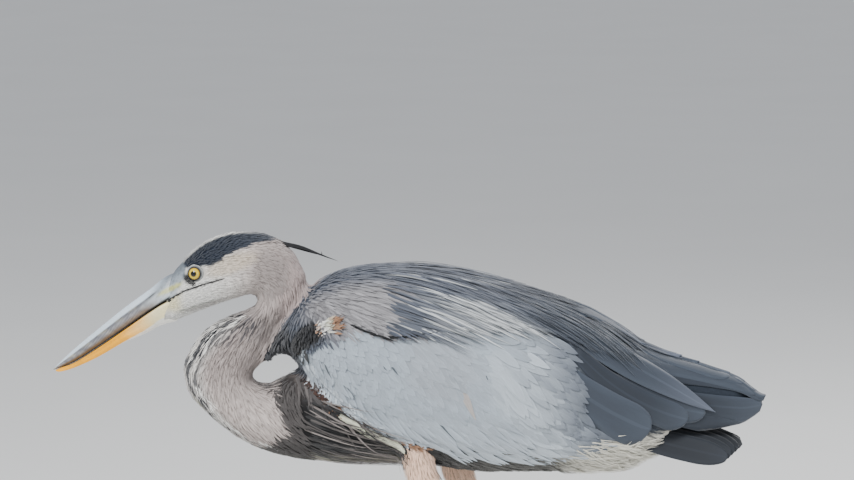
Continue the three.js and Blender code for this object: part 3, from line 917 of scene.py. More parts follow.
def head_feathers(material):
    eye = np.hypot(CX - EYE_AT[0], CANDIDATES[:, 2] - EYE_AT[2]) < EYE_OPENING
    mouth = (np.abs(CH - along_line(CX, GAPE_LINE)) < 1.2) & (CX < -176)
    bare = eye | mouth | (on_lore(CX, CH) > 0.5) | (CX < -222)
    on_head = (CANDIDATE_PARTS == HEAD) & ~bare
    crown = CH > along_line(CX, CROWN_LINE) + 1
    face = Layer("lance", 4, 3, 0.55, 0.12, root_lift=-0.4)
    cover(face, on_head & ~crown, 1.3, ramp(-222, -140, 4.2, 11), ramp(-222, -140, 1.3, 2.2))
    # Black feathers along the mouth: painted shade in its crease.
    follow(face, GAPE_LINE, 1.2, 6, 1.7, BLACK)
    follow(face, CHIN_LINE, 1.3, 5, 1.6, CHIN_SHADE)
    for offset in (-1.3, 0, 1.3):
        follow(face, TEARDROP, 0.9, 3, 1.6, BLACK, offset)
    face.build("feathers_face", material, "head_feathers")
    crest = Layer("lance", 4, 3, 1.5, 0.12, root_lift=-0.4)
    cover(crest, on_head & crown, 1.5, ramp(-205, -140, 5, 13), ramp(-222, -140, 1.3, 2.2))
    crest.build("feathers_crown", material, "head_feathers")


def neck_feathers(material):
    layer = Layer("lance", 5, 3, 1.2, 0.12)
    on_neck = CANDIDATE_PARTS == NECK_PART
    bib = ON_TRUNK & (CX < along_line(CH, BIB_SHADOW_EDGE)) & (CH < 400)
    cover(layer, on_neck | bib, 2.1, ramp(-200, -120, 13, 19), 2.0, messy=0.12, shade=0.1)
    for route in NECK_STREAKS:
        follow(layer, route, 1.6, 15, 2.0, STREAK, 0.0, 0.12)
        follow(layer, route, 2.2, 15, 2.0, WHITE, 3.2, 0.12)
    layer.build("feathers_neck", material, "neck_feathers")


LOW_LINE = [(-150, 420), (-90, 400), (-30, 352), (120, 347), (330, 374)]


def body_masks():
    """The candidates on the back and on the breast and belly."""
    low = ON_TRUNK & (CH < along_line(CX, LOW_LINE))
    bib = CX < along_line(CH, BIB_SHADOW_EDGE)
    return ON_TRUNK & ~low & (CX < 205), low & ~bib & (CX < 236)


UPPER, LOWER = body_masks()


def before_thigh(longest):
    """A length that keeps the feathers of the breast off the legs."""
    return lambda points: np.clip(4 - points[:, 0], 10, longest)


def breast_feathers(material):
    layer = Layer("lance", 6, 3, 1.4, 0.1)
    cover(layer, LOWER & (CX < 15), 3.4, before_thigh(36), 3.6, messy=0.1, shade=0.16)
    layer.build("feathers_breast", material, "back_feathers")


def belly_feathers(material):
    layer = Layer("lance", 6, 3, 2.0, 0.08)
    cover(layer, LOWER & (CX >= 5), 3.2, ramp(60, 160, 24, 30), 3.4, messy=0.16, shade=0.1)
    layer.build("feathers_belly", material, "back_feathers")


def vent_feathers(material):
    """Loose white down under the root of the tail."""
    layer = Layer("lance", 7, 3, 4.5, 0.05, pull=0.3)
    top = along_line(CX, [(120, 345), (150, 346), (190, 343), (204, 340), (250, 338)])
    at_vent = ON_TRUNK & (CX + 0.5 * (CH - 330) > 118) & (CX < 250) & (CH < top)
    cover(layer, at_vent, 2.5, ramp(150, 250, 30, 12), 1.9, messy=0.3, shade=0.08)
    layer.build("feathers_vent", material, "back_feathers")


def rump_feathers(material):
    """Short dark feathers over the root of the tail, under the folded wings."""
    layer = Layer("lance", 6, 3, 1.8, 0.08)
    at_rump = ON_TRUNK & (CX > 200) & (CX < 256) & (CH > 343)
    cover(layer, at_rump, 3, 15, 4)
    layer.build("feathers_rump", material, "tail_feathers")


def down_to_coverts(longest, slope, shortest=9):
    """A length that lets feathers end at the upper edge of the coverts."""

    def length(points):
        x, h = side_view(points)
        room = (h - 1 - along_line(x, COVERT_TOP)) / slope
        front = np.interp(x, [-120, -85, -20], [10, 13, longest])
        return np.clip(room, shortest, np.minimum(front, longest))

    return length


def back_feathers(material):
    layer = Layer("lance", 6, 3, 1.5, 0.1)
    cover(layer, UPPER, 2.9, down_to_coverts(40, 0.45), ramp(-100, 60, 3.2, 4.2), shade=0.17)
    layer.build("feathers_back", material, "back_feathers")


def mark_feathers(material):
    """The dark, white and rusty marks around the bend of the wing, and rusty feathers along its front edge.
    """
    layer = Layer("oval", 5, 3, 2.6, 0.1, ragged=0.06)
    on_body = ON_TRUNK | ON_WING
    cover(layer, on_body & (black_mark(CX, CH) > 0.5), 2.0, 8, 3.2, messy=0.2, shade=0.2)
    for offset in (-7, -4.5, -2):
        follow(layer, WING_EDGE[1:5], 1.5, 8, 2.6, [RUST, RUST, TUFT], offset, 0.2)
    follow(layer, RUST_SPOT, 1.3, 9, 2.2, mix(TUFT, BREAST_DARK, 0.3), 0, 0.2)
    layer.build("feathers_marks", material, "wing_feathers")
    loose = Layer("lance", 6, 3, 3.3, 0.1)
    for offset in (-4.0, -1.6, 0.8, 3.2):
        tints = [TUFT, WHITE, WHITE, CREAM, TUFT, TUFT, RUST]
        follow(loose, TUFT_LINE, 1.0, 9, 2.4, tints, offset, 0.25)
    # A painted shadow: a thin strip of black feathers along the top of the coverts, under the edge of the
    # shoulder feathers.
    follow(loose, COVERT_TOP[5:10], 2.0, 12, 2.2, BLACK, 0, 0.03)
    loose.build("feathers_tuft_and_shadow_strip", material, "wing_feathers")


def edge_coverts(material):
    """Small pale feathers along the front edge of the wing, and the cream ones below it."""
    layer = Layer("oval", 6, 5, 1.8, 0.05, ragged=0.02)
    for offset in (9, 5, 1.5):
        follow(layer, WING_EDGE, 2.2, 12, 6, COVERT_PALE, offset)
    layer.build("feathers_wing_edge", material, "wing_feathers")
    below = Layer("oval", 6, 5, 4.8, 0.05, ragged=0.03)
    follow(below, CREAM_LINE, 1.5, 22, 6.5, CREAM, -1)
    below.build("feathers_cream", material, "wing_feathers")


def covert_feathers(material):
    layer = Layer("oval", 7, 5, 1.2, 0.04, root_lift=-0.4, ragged=0.02)
    on_wing = ON_WING & (rearward(CX, CH) < 148)
    cover(layer, on_wing, 3.8, ramp(-95, 60, 12, 34), ramp(-95, 60, 6, 9.5), messy=0.08, shade=0.05)
    layer.build("feathers_coverts", material, "wing_feathers")


def greater_coverts(material):
    """Long feathers at the rear of the coverts, darker toward their tips: partly their own colour, partly
    painted shade.
    """
    layer = Layer("oval", 10, 5, 3.6, 0.03, ragged=0.03, root_lift=0.3)
    rear = rearward(CX, CH)
    wanted = ON_WING & (rear > 88) & (rear < 140) & (CX < 160)
    roots, face, part, heading = aimed_roots(wanted, 4.6, 0.09)
    tint = colour_at(roots, part) * jitter((len(roots), 1), 0.07)
    # Darkening toward the flight feathers, partly painted shade.
    dark_and_shade = smooth(rearward(*side_view(roots)) + 6 * RNG.normal(size=len(roots)), 88, 125)
    length = 36 * jitter(len(roots), 0.15)
    width = 9 * jitter(len(roots), 0.15)
    layer.lay(roots, face, heading, length, width, tint, mix(tint, SLATE, 0.85 * dark_and_shade))
    layer.build("feathers_greater_coverts", material, "wing_feathers")


# Painted shade in the gaps among the coverts, and worn webs: start and end in the side view, width and
# tint.
WEAR_AND_GAP_SHADE = [
    ((-77, 414), (-71, 400), 1.8, COVERT_GAP_SHADE), ((-59, 396), (-48, 382), 1.6, COVERT_GAP_SHADE),
    ((-27, 415), (-20, 408), 1.4, COVERT_GAP_SHADE), ((-17, 413), (-10, 404), 1.8, COVERT_GAP_SHADE),
    ((67, 407), (71, 399), 2, COVERT_GAP_SHADE), ((24, 363), (42, 340), 1.6, COVERT_GAP_SHADE),
    ((95, 339), (114, 332), 2.2, COVERT_GAP_SHADE), ((58, 336), (78, 330), 2.0, COVERT_GAP_SHADE),
    ((47, 391), (60, 362), 7, WEB), ((96, 402), (113, 370), 8, WEB), ((122, 398), (135, 376), 6, WEB),
]


def worn_and_gap_shade_coverts(material):
    # Dark strips paint the shade in the gaps, paler ones the worn webs.
    layer = Layer("lance", 8, 5, 1.9, 0.02, ragged=0.05, root_lift=0.6)
    for start, end, width, tint in WEAR_AND_GAP_SHADE:
        length = math.dist(start, end)
        follow(layer, [start, end], length, length, width, tint)
    layer.build("feathers_worn_and_gap_shade", material, "wing_feathers")


def scapulars(material):
    """Long lances that hang from the shoulders down to the top of the coverts."""
    layer = Layer("lance", 10, 3, 4.2, 0.1, pull=0.3)
    wanted = ON_TRUNK & (CX > -30) & (CX < 165) & (ROOM > 8)
    roots, face, _, heading = aimed_roots(wanted, 3.5, 0.05)
    length = down_to_coverts(72, 0.3, 13)(roots) * jitter(len(roots), 0.15)
    middle = roots + heading * 0.5 * length[:, None]
    x, h = side_view(middle)
    pale = pale_lances(x, h)
    tip = roots + heading * 0.9 * length[:, None]
    pale = np.minimum(pale, 0.3 + pale_lances(*side_view(tip)))
    light = RNG.random(len(roots)) < 0.1 * (x < 70) + 0.5 * pale
    dark = mix(mix(SLATE, DARK_SLATE, smooth(x, 30, 150)), LANCE, 0.4 * pale)
    tint = np.where(light[:, None], LANCE, dark)
    tint = tint * jitter((len(roots), 1), 0.2)
    layer.lay(roots, face, heading, length, 2.5 * jitter(len(roots), 0.2), tint * 0.85, tint * 1.1)
    layer.build("feathers_scapulars", material, "back_feathers")


def breast_plumes(material):
    """Long pale lances that run back from the base of the neck over the breast."""
    layer = Layer("lance", 10, 3, 4.0, 0.1, pull=0.2)
    wanted = LOWER & (CX < -40) & (CX > -132) & (CH < 385)
    roots, face, _, heading = aimed_roots(wanted, 5, 0.08)
    tint = mix(BREAST_DARK, NECK_PALE, 0.7 * RNG.random(len(roots)) ** 2.2)
    length = np.minimum(62 * jitter(len(roots), 0.2), 5 - roots[:, 0])
    layer.lay(roots, face, heading, length, 1.4 * jitter(len(roots), 0.2), tint * 0.8, tint * 1.1)
    layer.build("feathers_breast_plumes", material, "back_feathers")


def covert_fringe(material):
    """The longer coverts, whose pale tips stand ragged along the wing's lower edge."""
    layer = Layer("lance", 9, 5, 2.6, 0.05, pull=0.3, ragged=0.04)
    edge = along_line(CX, [*WING_EDGE, (45, 342), (150, 345)])
    over_thigh = (CX > -40) & (CX < 0) & (CH < edge + 12)
    wanted = ON_WING & (CX < 140) & (CH < edge + 26) & ~over_thigh
    roots, face, part, heading = aimed_roots(wanted, 7, 0.07)
    tint = colour_at(roots, part) * jitter((len(roots), 1), 0.04)
    length = (20 + 22 * smooth(roots[:, 0], -70, 20)) * jitter(len(roots), 0.15)
    layer.lay(roots, face, heading, length, 9 * jitter(len(roots), 0.15), tint * 0.92, tint * 1.12)
    layer.build("feathers_covert_fringe", material, "wing_feathers")


def thigh_feathers(material):
    layer = Layer("lance", 4, 3, 1.8, 0.12)
    on_thigh = (CANDIDATE_PARTS == THIGH) & (CANDIDATES[:, 2] > BARE_LEG)
    cover(layer, on_thigh, 2.2, 11, 2.2)
    layer.build("feathers_thighs", material, "thigh_feathers")


# ---------- Materials ----------


class Nodes:
    """A short way to write a material's nodes."""

    def __init__(self, name):
        self.material = bpy.data.materials.new(name)
        self.material.use_nodes = True
        self.tree = self.material.node_tree
        self.shader = self.tree.nodes["Principled BSDF"]

    def add(self, kind, inputs=None, **settings):
        node = self.tree.nodes.new(kind)
        for name, value in settings.items():
            setattr(node, name, value)
        for name, value in (inputs or {}).items():
            self.put(node, name, value)
        return node

    def put(self, node, name, value):
        if isinstance(value, bpy.types.NodeSocket):
            self.tree.links.new(value, node.inputs[name])
        else:
            node.inputs[name].default_value = value

    def set(self, **values):
        for name, value in values.items():
            self.put(self.shader, name.replace("_", " "), value)

    def math(self, operation, *values, clamp=False):
        node = self.add("ShaderNodeMath", dict(enumerate(values)), operation=operation)
        node.use_clamp = clamp
        return node.outputs[0]

    def attribute(self, name, output):
        return self.add("ShaderNodeAttribute", attribute_name=name).outputs[output]

    def line(self, value, slope, start):
        """start + slope * value"""
        return self.math("ADD", self.math("MULTIPLY", value, slope), start)

    def tint(self):
        return self.attribute("tint", "Color")

    def place(self):
        return self.add("ShaderNodeNewGeometry").outputs["Position"]

    def noise(self, vector, scale, detail):
        inputs = {"Vector": vector, "Scale": scale, "Detail": detail}
        return self.add("ShaderNodeTexNoise", inputs).outputs["Fac"]

    def scale_colour(self, colour, factor):
        node = self.add("ShaderNodeVectorMath", {0: colour, "Scale": factor}, operation="SCALE")
        return node.outputs[0]

    def blend(self, share, a, b):
        node = self.add("ShaderNodeMix", {0: share}, data_type="RGBA")
        for socket, value in ((node.inputs[6], a), (node.inputs[7], b)):
            if isinstance(value, bpy.types.NodeSocket):
                self.tree.links.new(value, socket)
            else:
                socket.default_value = value
        return node.outputs[2]

    def bump(self, height, strength, distance=0.0005):
        inputs = {"Height": height, "Strength": strength, "Distance": distance}
        return self.add("ShaderNodeBump", inputs).outputs[0]


def feather_material(name, barbs=26.0, fringe=0.12, shaft=-0.08, contrast=0.07, bump=0.5):
    """Feathers: fine barbs slanting from the shaft, a root darkened with painted shade where the feather
    before lies over it, a paler rim and a shaft line.
    """
    n = Nodes(name)
    vane = n.attribute("vane", "Vector")
    parts = n.add("ShaderNodeSeparateXYZ", {0: vane}).outputs
    side, along = n.math("ABSOLUTE", parts[0]), parts[1]
    fray = n.noise(vane, 9.0, 4.0)
    slant = n.math("MULTIPLY_ADD", along, 9.0 * barbs, n.math("MULTIPLY", side, -1.3 * barbs))
    barb = n.math("SINE", n.math("MULTIPLY_ADD", fray, 5.0, slant))
    on_shaft = n.math("LESS_THAN", side, 0.09)
    rim = n.math("MAXIMUM", n.math("POWER", side, 4.0), n.math("POWER", along, 8.0))
    # Painted shade: darker toward the root, where the feather before covers it.
    value = n.math("MULTIPLY_ADD", barb, contrast, n.math("MULTIPLY_ADD", along, 0.16, 0.82))
    value = n.math("MULTIPLY", value, n.math("MULTIPLY_ADD", fray, 0.3, 0.85))
    value = n.math("MULTIPLY_ADD", rim, fringe, value)
    value = n.math("MULTIPLY_ADD", on_shaft, shaft, value)
    n.set(Base_Color=n.scale_colour(n.tint(), value))
    n.set(Roughness=n.math("MULTIPLY_ADD", fray, 0.2, 0.5))
    n.set(Specular_IOR_Level=0.25, Sheen_Weight=0.2, Sheen_Roughness=0.5)
    n.set(Normal=n.bump(n.math("MULTIPLY_ADD", barb, 0.3, on_shaft), bump))
    return n.material


def skin_material():
    """Down under the feathers, in the colours of the coat."""
    n = Nodes("skin_down")
    down = n.noise(n.place(), 420.0, 6.0)
    value = n.line(down, 0.5, 0.5)
    n.set(Base_Color=n.scale_colour(n.tint(), value), Roughness=0.9, Specular_IOR_Level=0.15)
    n.set(Normal=n.bump(down, 0.6))
    return n.material


SKIN_SHADE = 0.8  # the down is darker than the coat over it


def dress_skin():
    points = points_of(skin)
    part = part_of(points)
    add_tint(skin, colour_at(points, part) * SKIN_SHADE)
    finish_piece(skin, skin_material(), "back_feathers", *PARTS)


# ---------- Long feathers ----------

# Long feathers of the folded wing in the side view: root x and height, tip x and height,
# width, lift over the skin, and tints of blade and tip.
FLIGHT_FEATHERS = [
    ((175, 385), (321, 368), 22, 0.4, DEEP_SLATE, DARK_SLATE),
    ((185, 395), (326, 375), 20, 0.8, DEEP_SLATE, DARK_SLATE),
    ((190, 405), (329, 383), 24, 1.2, DEEP_SLATE, DARK_SLATE),
    ((195, 420), (321, 389), 26, 1.6, DARK_SLATE, DARK_SLATE),
    ((200, 440), (310, 400), 20, 2.0, DEEP_SLATE, DARK_SLATE),
    ((195, 460), (296, 430), 24, 2.4, DARK_SLATE, DARK_SLATE),
    ((165, 410), (272, 368), 22, 2.0, DEEP_SLATE, DARK_SLATE),
    ((150, 425), (256, 363), 24, 2.4, DEEP_SLATE, DARK_SLATE),
    ((100, 436), (221, 355), 34, 3.2, DARK_SLATE, DARK_SLATE),
]
TERTIALS = [
    ((170, 470), (268, 440), 22, 3.4, DEEP_SLATE, DARK_SLATE),
    ((120, 458), (281, 370), 26, 4.0, DARK_SLATE, SLATE),
    ((140, 462), (252, 407), 20, 4.6, DARK_SLATE, SLATE),
    ((140, 475), (243, 445), 22, 4.4, DARK_SLATE, DARK_SLATE),
    ((110, 470), (217, 430), 24, 5.0, DARK_SLATE, SLATE),
]
TERTIAL_BOW = 0.085  # how far a tertial bends upward, as a fraction of its length
# How far back the feathers of each row come out from under the coverts.
FLIGHT_START, TERTIAL_START = 127, 150
COMING_OUT = 40  # distance over which a long feather comes out
HIDDEN = 3  # depth under the skin at which its covered part lies
RIDGE_ANGLE = 0.2  # no long feather's shaft lies closer than this to the ridge of the back

# The folded wings as seen from the line that runs through them: the stations along it and the
# angles round the left side, from straight up.
HOOD_STEP, ANGLE_STEP = 4.0, math.radians(5)
HOOD_X = np.arange(60, 329, HOOD_STEP)
HOOD_ANGLES = np.arange(31) * ANGLE_STEP
HOOD_END = (304, 332)  # where the wings' outside draws in toward their tips


def ease(field, rounds=3):
    """Softens a grid of values."""
    for _ in range(rounds):
        padded = np.pad(field, 1, mode="edge")
        around = padded[:-2, 1:-1] + padded[2:, 1:-1] + padded[1:-1, :-2] + padded[1:-1, 2:]
        field = 0.5 * field + 0.125 * around
    return field


def hood_table():
    """Distances from the axis to the wings' outside, and straight down below their edge."""
    cover_nodes = joined_copy("wings", ["wing_left", "wing_right", "trunk"])
    polygons = [tuple(p.vertices) for p in cover_nodes.data.polygons]
    tree = BVHTree.FromPolygons(points_of(cover_nodes).tolist(), polygons)
    bpy.data.objects.remove(cover_nodes)
    table = np.empty((len(HOOD_X), len(HOOD_ANGLES)))
    for i, x in enumerate(HOOD_X):
        middle = Vector((x, 0, along_line(x, HOOD_AXIS)))
        for j, angle in enumerate(HOOD_ANGLES):
            out = Vector((0, -math.sin(angle), math.cos(angle)))
            spot = tree.ray_cast(middle + 200 * out, -out)[0]
            table[i, j] = 5 if spot is None else (spot - middle).length
            if angle > 1.4:
                below = table[i, j - 1] * math.sin(HOOD_ANGLES[j - 1]) / math.sin(angle)
                table[i, j] = max(table[i, j], 0.97 * below)
    return ease(table) - COAT


HOOD = hood_table()


def hood_reach(x, angle):
    """Distance from the axis to the skin of the folded wings, which draws in at their tips."""
    column = np.clip((x - HOOD_X[0]) / HOOD_STEP, 0, len(HOOD_X) - 1.001)
    row = np.clip(np.abs(angle) / ANGLE_STEP, 0, len(HOOD_ANGLES) - 1.001)
    i, j = column.astype(int), row.astype(int)
    a, b = column - i, row - j
    near = HOOD[i, j] * (1 - b) + HOOD[i, j + 1] * b
    far = HOOD[i + 1, j] * (1 - b) + HOOD[i + 1, j + 1] * b
    return (near * (1 - a) + far * a) * (1 - 0.5 * smooth(x, *HOOD_END))


def hood_angle(x, h):
    """The angle at which the wings are seen at (x, h) from the side."""
    reach = hood_reach(np.full(len(HOOD_ANGLES), x), HOOD_ANGLES)
    height = along_line(x, HOOD_AXIS) + reach * (np.cos(HOOD_ANGLES) - LEAN * np.sin(HOOD_ANGLES))
    return np.interp(-h, -height, HOOD_ANGLES)


def long_feather(layer, form, bow, start, root, tip, width, lift, tint, tip_tint):
    """One long feather, wrapped round the side of the folded wings, and its mirror image.

    It comes out from under the coverts at `start`, counted along the rows of feathers.
    """
    t = layer.t
    x = root[0] + (tip[0] - root[0]) * t
    first, last = max(hood_angle(*root), RIDGE_ANGLE), max(hood_angle(*tip), RIDGE_ANGLE)
    angle = first + (last - first) * t
    reach = hood_reach(x, angle)
    angle = angle - bow * math.dist(root, tip) * np.sin(np.pi * t) / reach
    way = unit(np.stack([np.gradient(x), reach * np.gradient(angle)], -1))
    offset = width / 2 * blade_widths(t, form)[:, None] * layer.across
    x = x[:, None] - way[:, 1:] * offset
    angle = angle[:, None] + way[:, :1] * offset / reach[:, None]
    reach = hood_reach(x, angle)
    height = along_line(x, HOOD_AXIS) + reach * (np.cos(angle) - LEAN * np.sin(angle))
    out = smooth(rearward(x, height), start, start + COMING_OUT)
    reach = reach - HIDDEN + (lift + HIDDEN) * out + 0.02 * width * (1 - layer.across**2)
    z = along_line(x, HOOD_AXIS) + reach * np.cos(angle)
    grid = np.stack([x, -reach * np.sin(angle), z], -1)
    layer.add_grid(grid, tint, tip_tint)
    layer.add_grid(grid * MIRROR + [0, 0, 0.4], tint, tip_tint)


def flight_feathers(material):
    layer = Blades("blade", 22, 9, 0, 0)
    for row in FLIGHT_FEATHERS:
        long_feather(layer, "blade", 0, FLIGHT_START, *row)
    for row in TERTIALS:
        long_feather(layer, "point", TERTIAL_BOW, TERTIAL_START, *row)
    layer.build("feathers_flight", material, "wing_feathers")


def tail_feathers(material):
    """The tail: feathers side by side, each pair lower and farther out than the one above."""
    layer = Blades("blade", 22, 9, 0, 0)
    for share in np.linspace(0, 1, 5):
        root = np.array([186, -8 - 14 * share, 370 - 15 * share])
        tip = np.array([307.5 - 15 * share, -9 - 19 * share, 338.5 - 9 * share])
        ahead = unit(tip - root)
        hang = np.array([0, -1, -0.75 - 0.9 * share])
        hang = unit(hang - hang @ ahead * ahead)
        out = np.cross(ahead, hang)
        t = layer.t[:, None, None]
        half = (15.5 - 2.5 * share) * blade_widths(layer.t, "round")[:, None, None]
        reach = half * layer.across[:, None]
        middle = root + (tip - root) * t + out * (3 * 4 * t * (1 - t) + 0.6 * (0.5 - share))
        grid = middle + hang * reach - out * 0.035 * np.abs(reach)
        tint = mix(TAIL_DARK, TAIL_EDGE, share)
        layer.add_grid(grid, tint, tint)
        layer.add_grid(grid * MIRROR, tint, tint)
    layer.build("feathers_tail", material, "tail_feathers", "tail")


# ---------- Bill ----------


def tube_faces(rings, sides):
    faces = []
    for r in range(rings - 1):
        for s in range(sides):
            a, b = r * sides + s, r * sides + (s + 1) % sides
            faces.append((a, a + sides, b + sides, b))
    faces.append(tuple(range(sides)))
    faces.append(tuple(range(rings * sides - 1, (rings - 1) * sides - 1, -1)))
    return faces


# Each half of the bill from its root to its tip: upper x and z, lower x and z, half-width.
UPPER_BILL = [
    (-208, 500, -214, 478.2, 11.5), (-224.4, 494, -227.4, 470.6, 12.2),
    (-240.4, 481.5, -241.4, 461.3, 9.7), (-261.4, 466.2, -263.4, 445.6, 7.6),
    (-284.4, 447.7, -286.4, 429.4, 5.6), (-307.4, 428.7, -308.9, 414.8, 3.6),
    (-323.4, 414, -324.4, 408.4, 1.8), (-329.6, 407.4, -329.8, 406.6, 0.5),
]
LOWER_BILL = [
    (-211, 478.4, -215, 452.5, 11.4), (-227.4, 470.2, -230, 448.2, 12),
    (-241.4, 460.9, -243.4, 441, 9.8), (-263.4, 445.2, -265.4, 431.7, 7.4),
    (-286.4, 429, -288.4, 418.6, 5), (-308.9, 414.4, -309.4, 408.9, 3.2),
    (-322.4, 409, -322.9, 404.9, 1.6), (-327.6, 406.4, -327.7, 405.3, 0.5),
]
BILL_SIDES = 40


def bill_shape(rows, way_up, steps=10):
    """Vertices of half a bill, with each one's distance from the root and height in its ring.

    Each ring is flat on the side of the mouth, where it is widest, and rounded at the ridge.
    """
    rows = spline(rows, steps)
    top, low = rows[:, [0, 1]], rows[:, [2, 3]]
    middle, half = (top + low) / 2, (top - low) / 2
    angle = np.arange(BILL_SIDES) / BILL_SIDES * 2 * np.pi
    rise = np.sin(angle)
    mouthward = -way_up * rise
    width = ((1 + mouthward) / 2) ** 0.6 * np.sqrt(1 - np.maximum(mouthward, 0) ** 14)
    side = np.sign(np.cos(angle)) * width
    x = middle[:, :1] + half[:, :1] * rise
    z = middle[:, 1:] + half[:, 1:] * rise
    points = np.stack([x, rows[:, 4:] * side, z], -1)
    way = np.r_[0, np.cumsum(np.linalg.norm(np.diff(middle, axis=0), axis=1))]
    return points, way[:, None] + 0 * rise, rise + 0 * way[:, None], len(rows)


def bill_piece(name, rows, way_up, colour_of, carve, material, slot, node):
    points, way, rise, rings = bill_shape(rows, way_up)
    points[..., 1] *= 1 - carve(way, rise) / np.maximum(np.abs(points[..., 1]), 2)
    obj = new_object(name, points.reshape(-1, 3), tube_faces(rings, BILL_SIDES))
    tint = colour_of(way.ravel(), rise.ravel(), points.reshape(-1, 3))
    finish_tinted(obj, tint, material, slot, node)


def nostril(way, rise):
    """The slit of the nostril, near the root of the bill."""
    return np.exp(-(((way - 32) / 6) ** 2) - ((rise - 0.28) / 0.1) ** 2)


def upper_carve(way, rise):
    groove = np.exp(-(((rise - 0.28) / 0.14) ** 2)) * fall(way, 60, 105) * smooth(way, 16, 26)
    return 0.7 * groove + 1.1 * nostril(way, rise)


def lower_carve(way, rise):
    """A faint groove along the side of the lower half."""
    return 0.25 * np.exp(-(((rise - 0.1) / 0.15) ** 2)) * smooth(way, 25, 50) * fall(way, 80, 110)


LORE_ON_BILL = 0.62  # how bright the bare skin's marks are where they run on over the bill


def upper_bill_colour(way, rise, points):
    """A ridge paled by a painted highlight, a dark groove, mottled sides, and a brown edge at the mouth
    that turns black with painted shade in its crease.
    """
    mottle = smooth(wobble(points * [1, 1, 1.6], 7, 8), -0.3, 0.7)
    groove = np.exp(-(((rise - 0.24) / 0.1) ** 2)) * (1 - 0.6 * smooth(way, 80, 120))
    horn = painted(
        BILL_GREY,
        (STRIPE, 0.25 + 0.4 * mottle),
        (BILL_CREAM, 0.3 * smooth(wobble(points, 5, 21), 0.3, 0.9)),
        # Painted highlight along the ridge.
        (BILL_RIDGE_HIGHLIGHT, smooth(rise, 0.3, 0.45)),
        (STRIPE, 0.85 * groove),
        (BILL_BROWN, (0.7 + 0.3 * smooth(way, 30, 110)) * fall(rise, -0.65, -0.1)),
    )
    x, h = side_view(points)
    return painted(
        LORE_ON_BILL * lore_colour(x, points[:, 1], h),
        (horn, smooth(way + 16 * np.abs(rise), 26, 50)),
        # Painted shade in the crease where the two halves of the bill meet.
        (BLACK, 0.9 * fall(rise, -0.86, -0.66)),
        (BLACK, 0.9 * nostril(way, rise)),
    )


def lower_bill_colour(way, rise, points):
    """Cream at the root, orange toward the tip, a white chin and a brown edge at the mouth."""
    chin = smooth(-0.15 - 0.013 * way - rise, -0.06, 0.06)
    amber = smooth(rise, 0.25, 0.7) * smooth(way, 25, 60)
    return painted(
        BILL_CREAM,
        (BILL_ORANGE, smooth(way + 8 * wobble(points, 30, 4), 20, 58)),
        (WHITE, 0.9 * chin),
        (mix(BILL_ORANGE, BILL_BROWN, 0.35), 0.7 * amber),
        (BILL_BROWN, 0.85 * smooth(rise, 0.84, 0.95)),
    )


def horn_material(name):
    """Horn: fine streaks along its length, faint blotches and a satin gloss."""
    n = Nodes(name)
    place = n.place()
    turn = n.add("ShaderNodeMapping", {"Vector": place, "Rotation": (0, math.radians(-39), 0)})
    stretch = n.add("ShaderNodeVectorMath", {0: turn.outputs[0], 1: (0.12, 1, 1)}, operation="MULTIPLY")
    line = n.noise(stretch.outputs[0], 720.0, 5.0)
    grain = n.math("ADD", line, n.noise(place, 90.0, 3.0))
    value = n.line(grain, 0.32, 0.68)
    n.set(Base_Color=n.scale_colour(n.tint(), value), Coat_Weight=0.08, Coat_Roughness=0.25)
    n.set(Specular_IOR_Level=0.3)
    n.set(Roughness=n.line(line, 0.25, 0.22))
    n.set(Normal=n.bump(line, 0.25))
    return n.material


# ---------- Eyes ----------

EYE_RADIUS = 7.6
EYE_AXIS = unit(np.array([-0.25, -1, 0.08]))
PUPIL, IRIS_EDGE = 2.6, 5.2


def eye_frame():
    up = unit(np.array([0, 0, 1]) - EYE_AXIS[2] * EYE_AXIS)
    return up, np.cross(EYE_AXIS, up)


def eye_ring(reach, count, height=0.0):
    """Points on the eyeball at a distance from its axis."""
    up, side = eye_frame()
    angle = np.arange(count) / count * 2 * np.pi
    depth = math.sqrt(max(EYE_RADIUS**2 - reach**2, 0)) + height
    around = np.cos(angle)[:, None] * up + np.sin(angle)[:, None] * side
    return EYE_AT + EYE_AXIS * depth + around * reach


def eye_colour(points):
    offset = points - EYE_AT
    reach = np.linalg.norm(offset - (offset @ EYE_AXIS)[:, None] * EYE_AXIS, axis=1)
    up, side = eye_frame()
    angle = np.arctan2(offset @ side, offset @ up)
    rays = 0.5 + 0.3 * np.sin(37 * angle) * np.sin(11 * angle + 1) + 0.2 * np.sin(71 * angle)
    iris = painted(
        IRIS,
        (IRIS_RAY, 0.35 * rays),
        (IRIS_RIM, 0.7 * smooth(reach, 4.3, IRIS_EDGE)),
        (IRIS_CORE, 0.6 * fall(reach, PUPIL, PUPIL + 0.7)),
    )
    colour = mix(BLACK, iris, smooth(reach, PUPIL - 0.15, PUPIL + 0.15))
    return mix(colour, BLACK, smooth(reach, IRIS_EDGE - 0.1, IRIS_EDGE + 0.3))


def eyeballs(material):
    """Both eyeballs, each with the bulge of its clear front."""
    count = 64
    reaches = EYE_RADIUS * np.sin(np.linspace(0.02, 1.45, 44))
    bulge = [0.7 * max(1 - (r / 5.4) ** 2, 0) for r in reaches]
    rings = [eye_ring(r, count, b) for r, b in zip(reaches, bulge)]
    left = np.concatenate(rings)
    for side, name in ((1, "left"), (-1, "right")):
        obj = new_object(f"eyeball_{name}", left * [1, side, 1], tube_faces(len(rings), count))
        finish_tinted(obj, eye_colour(left), material, "eye", f"eye_{name}")


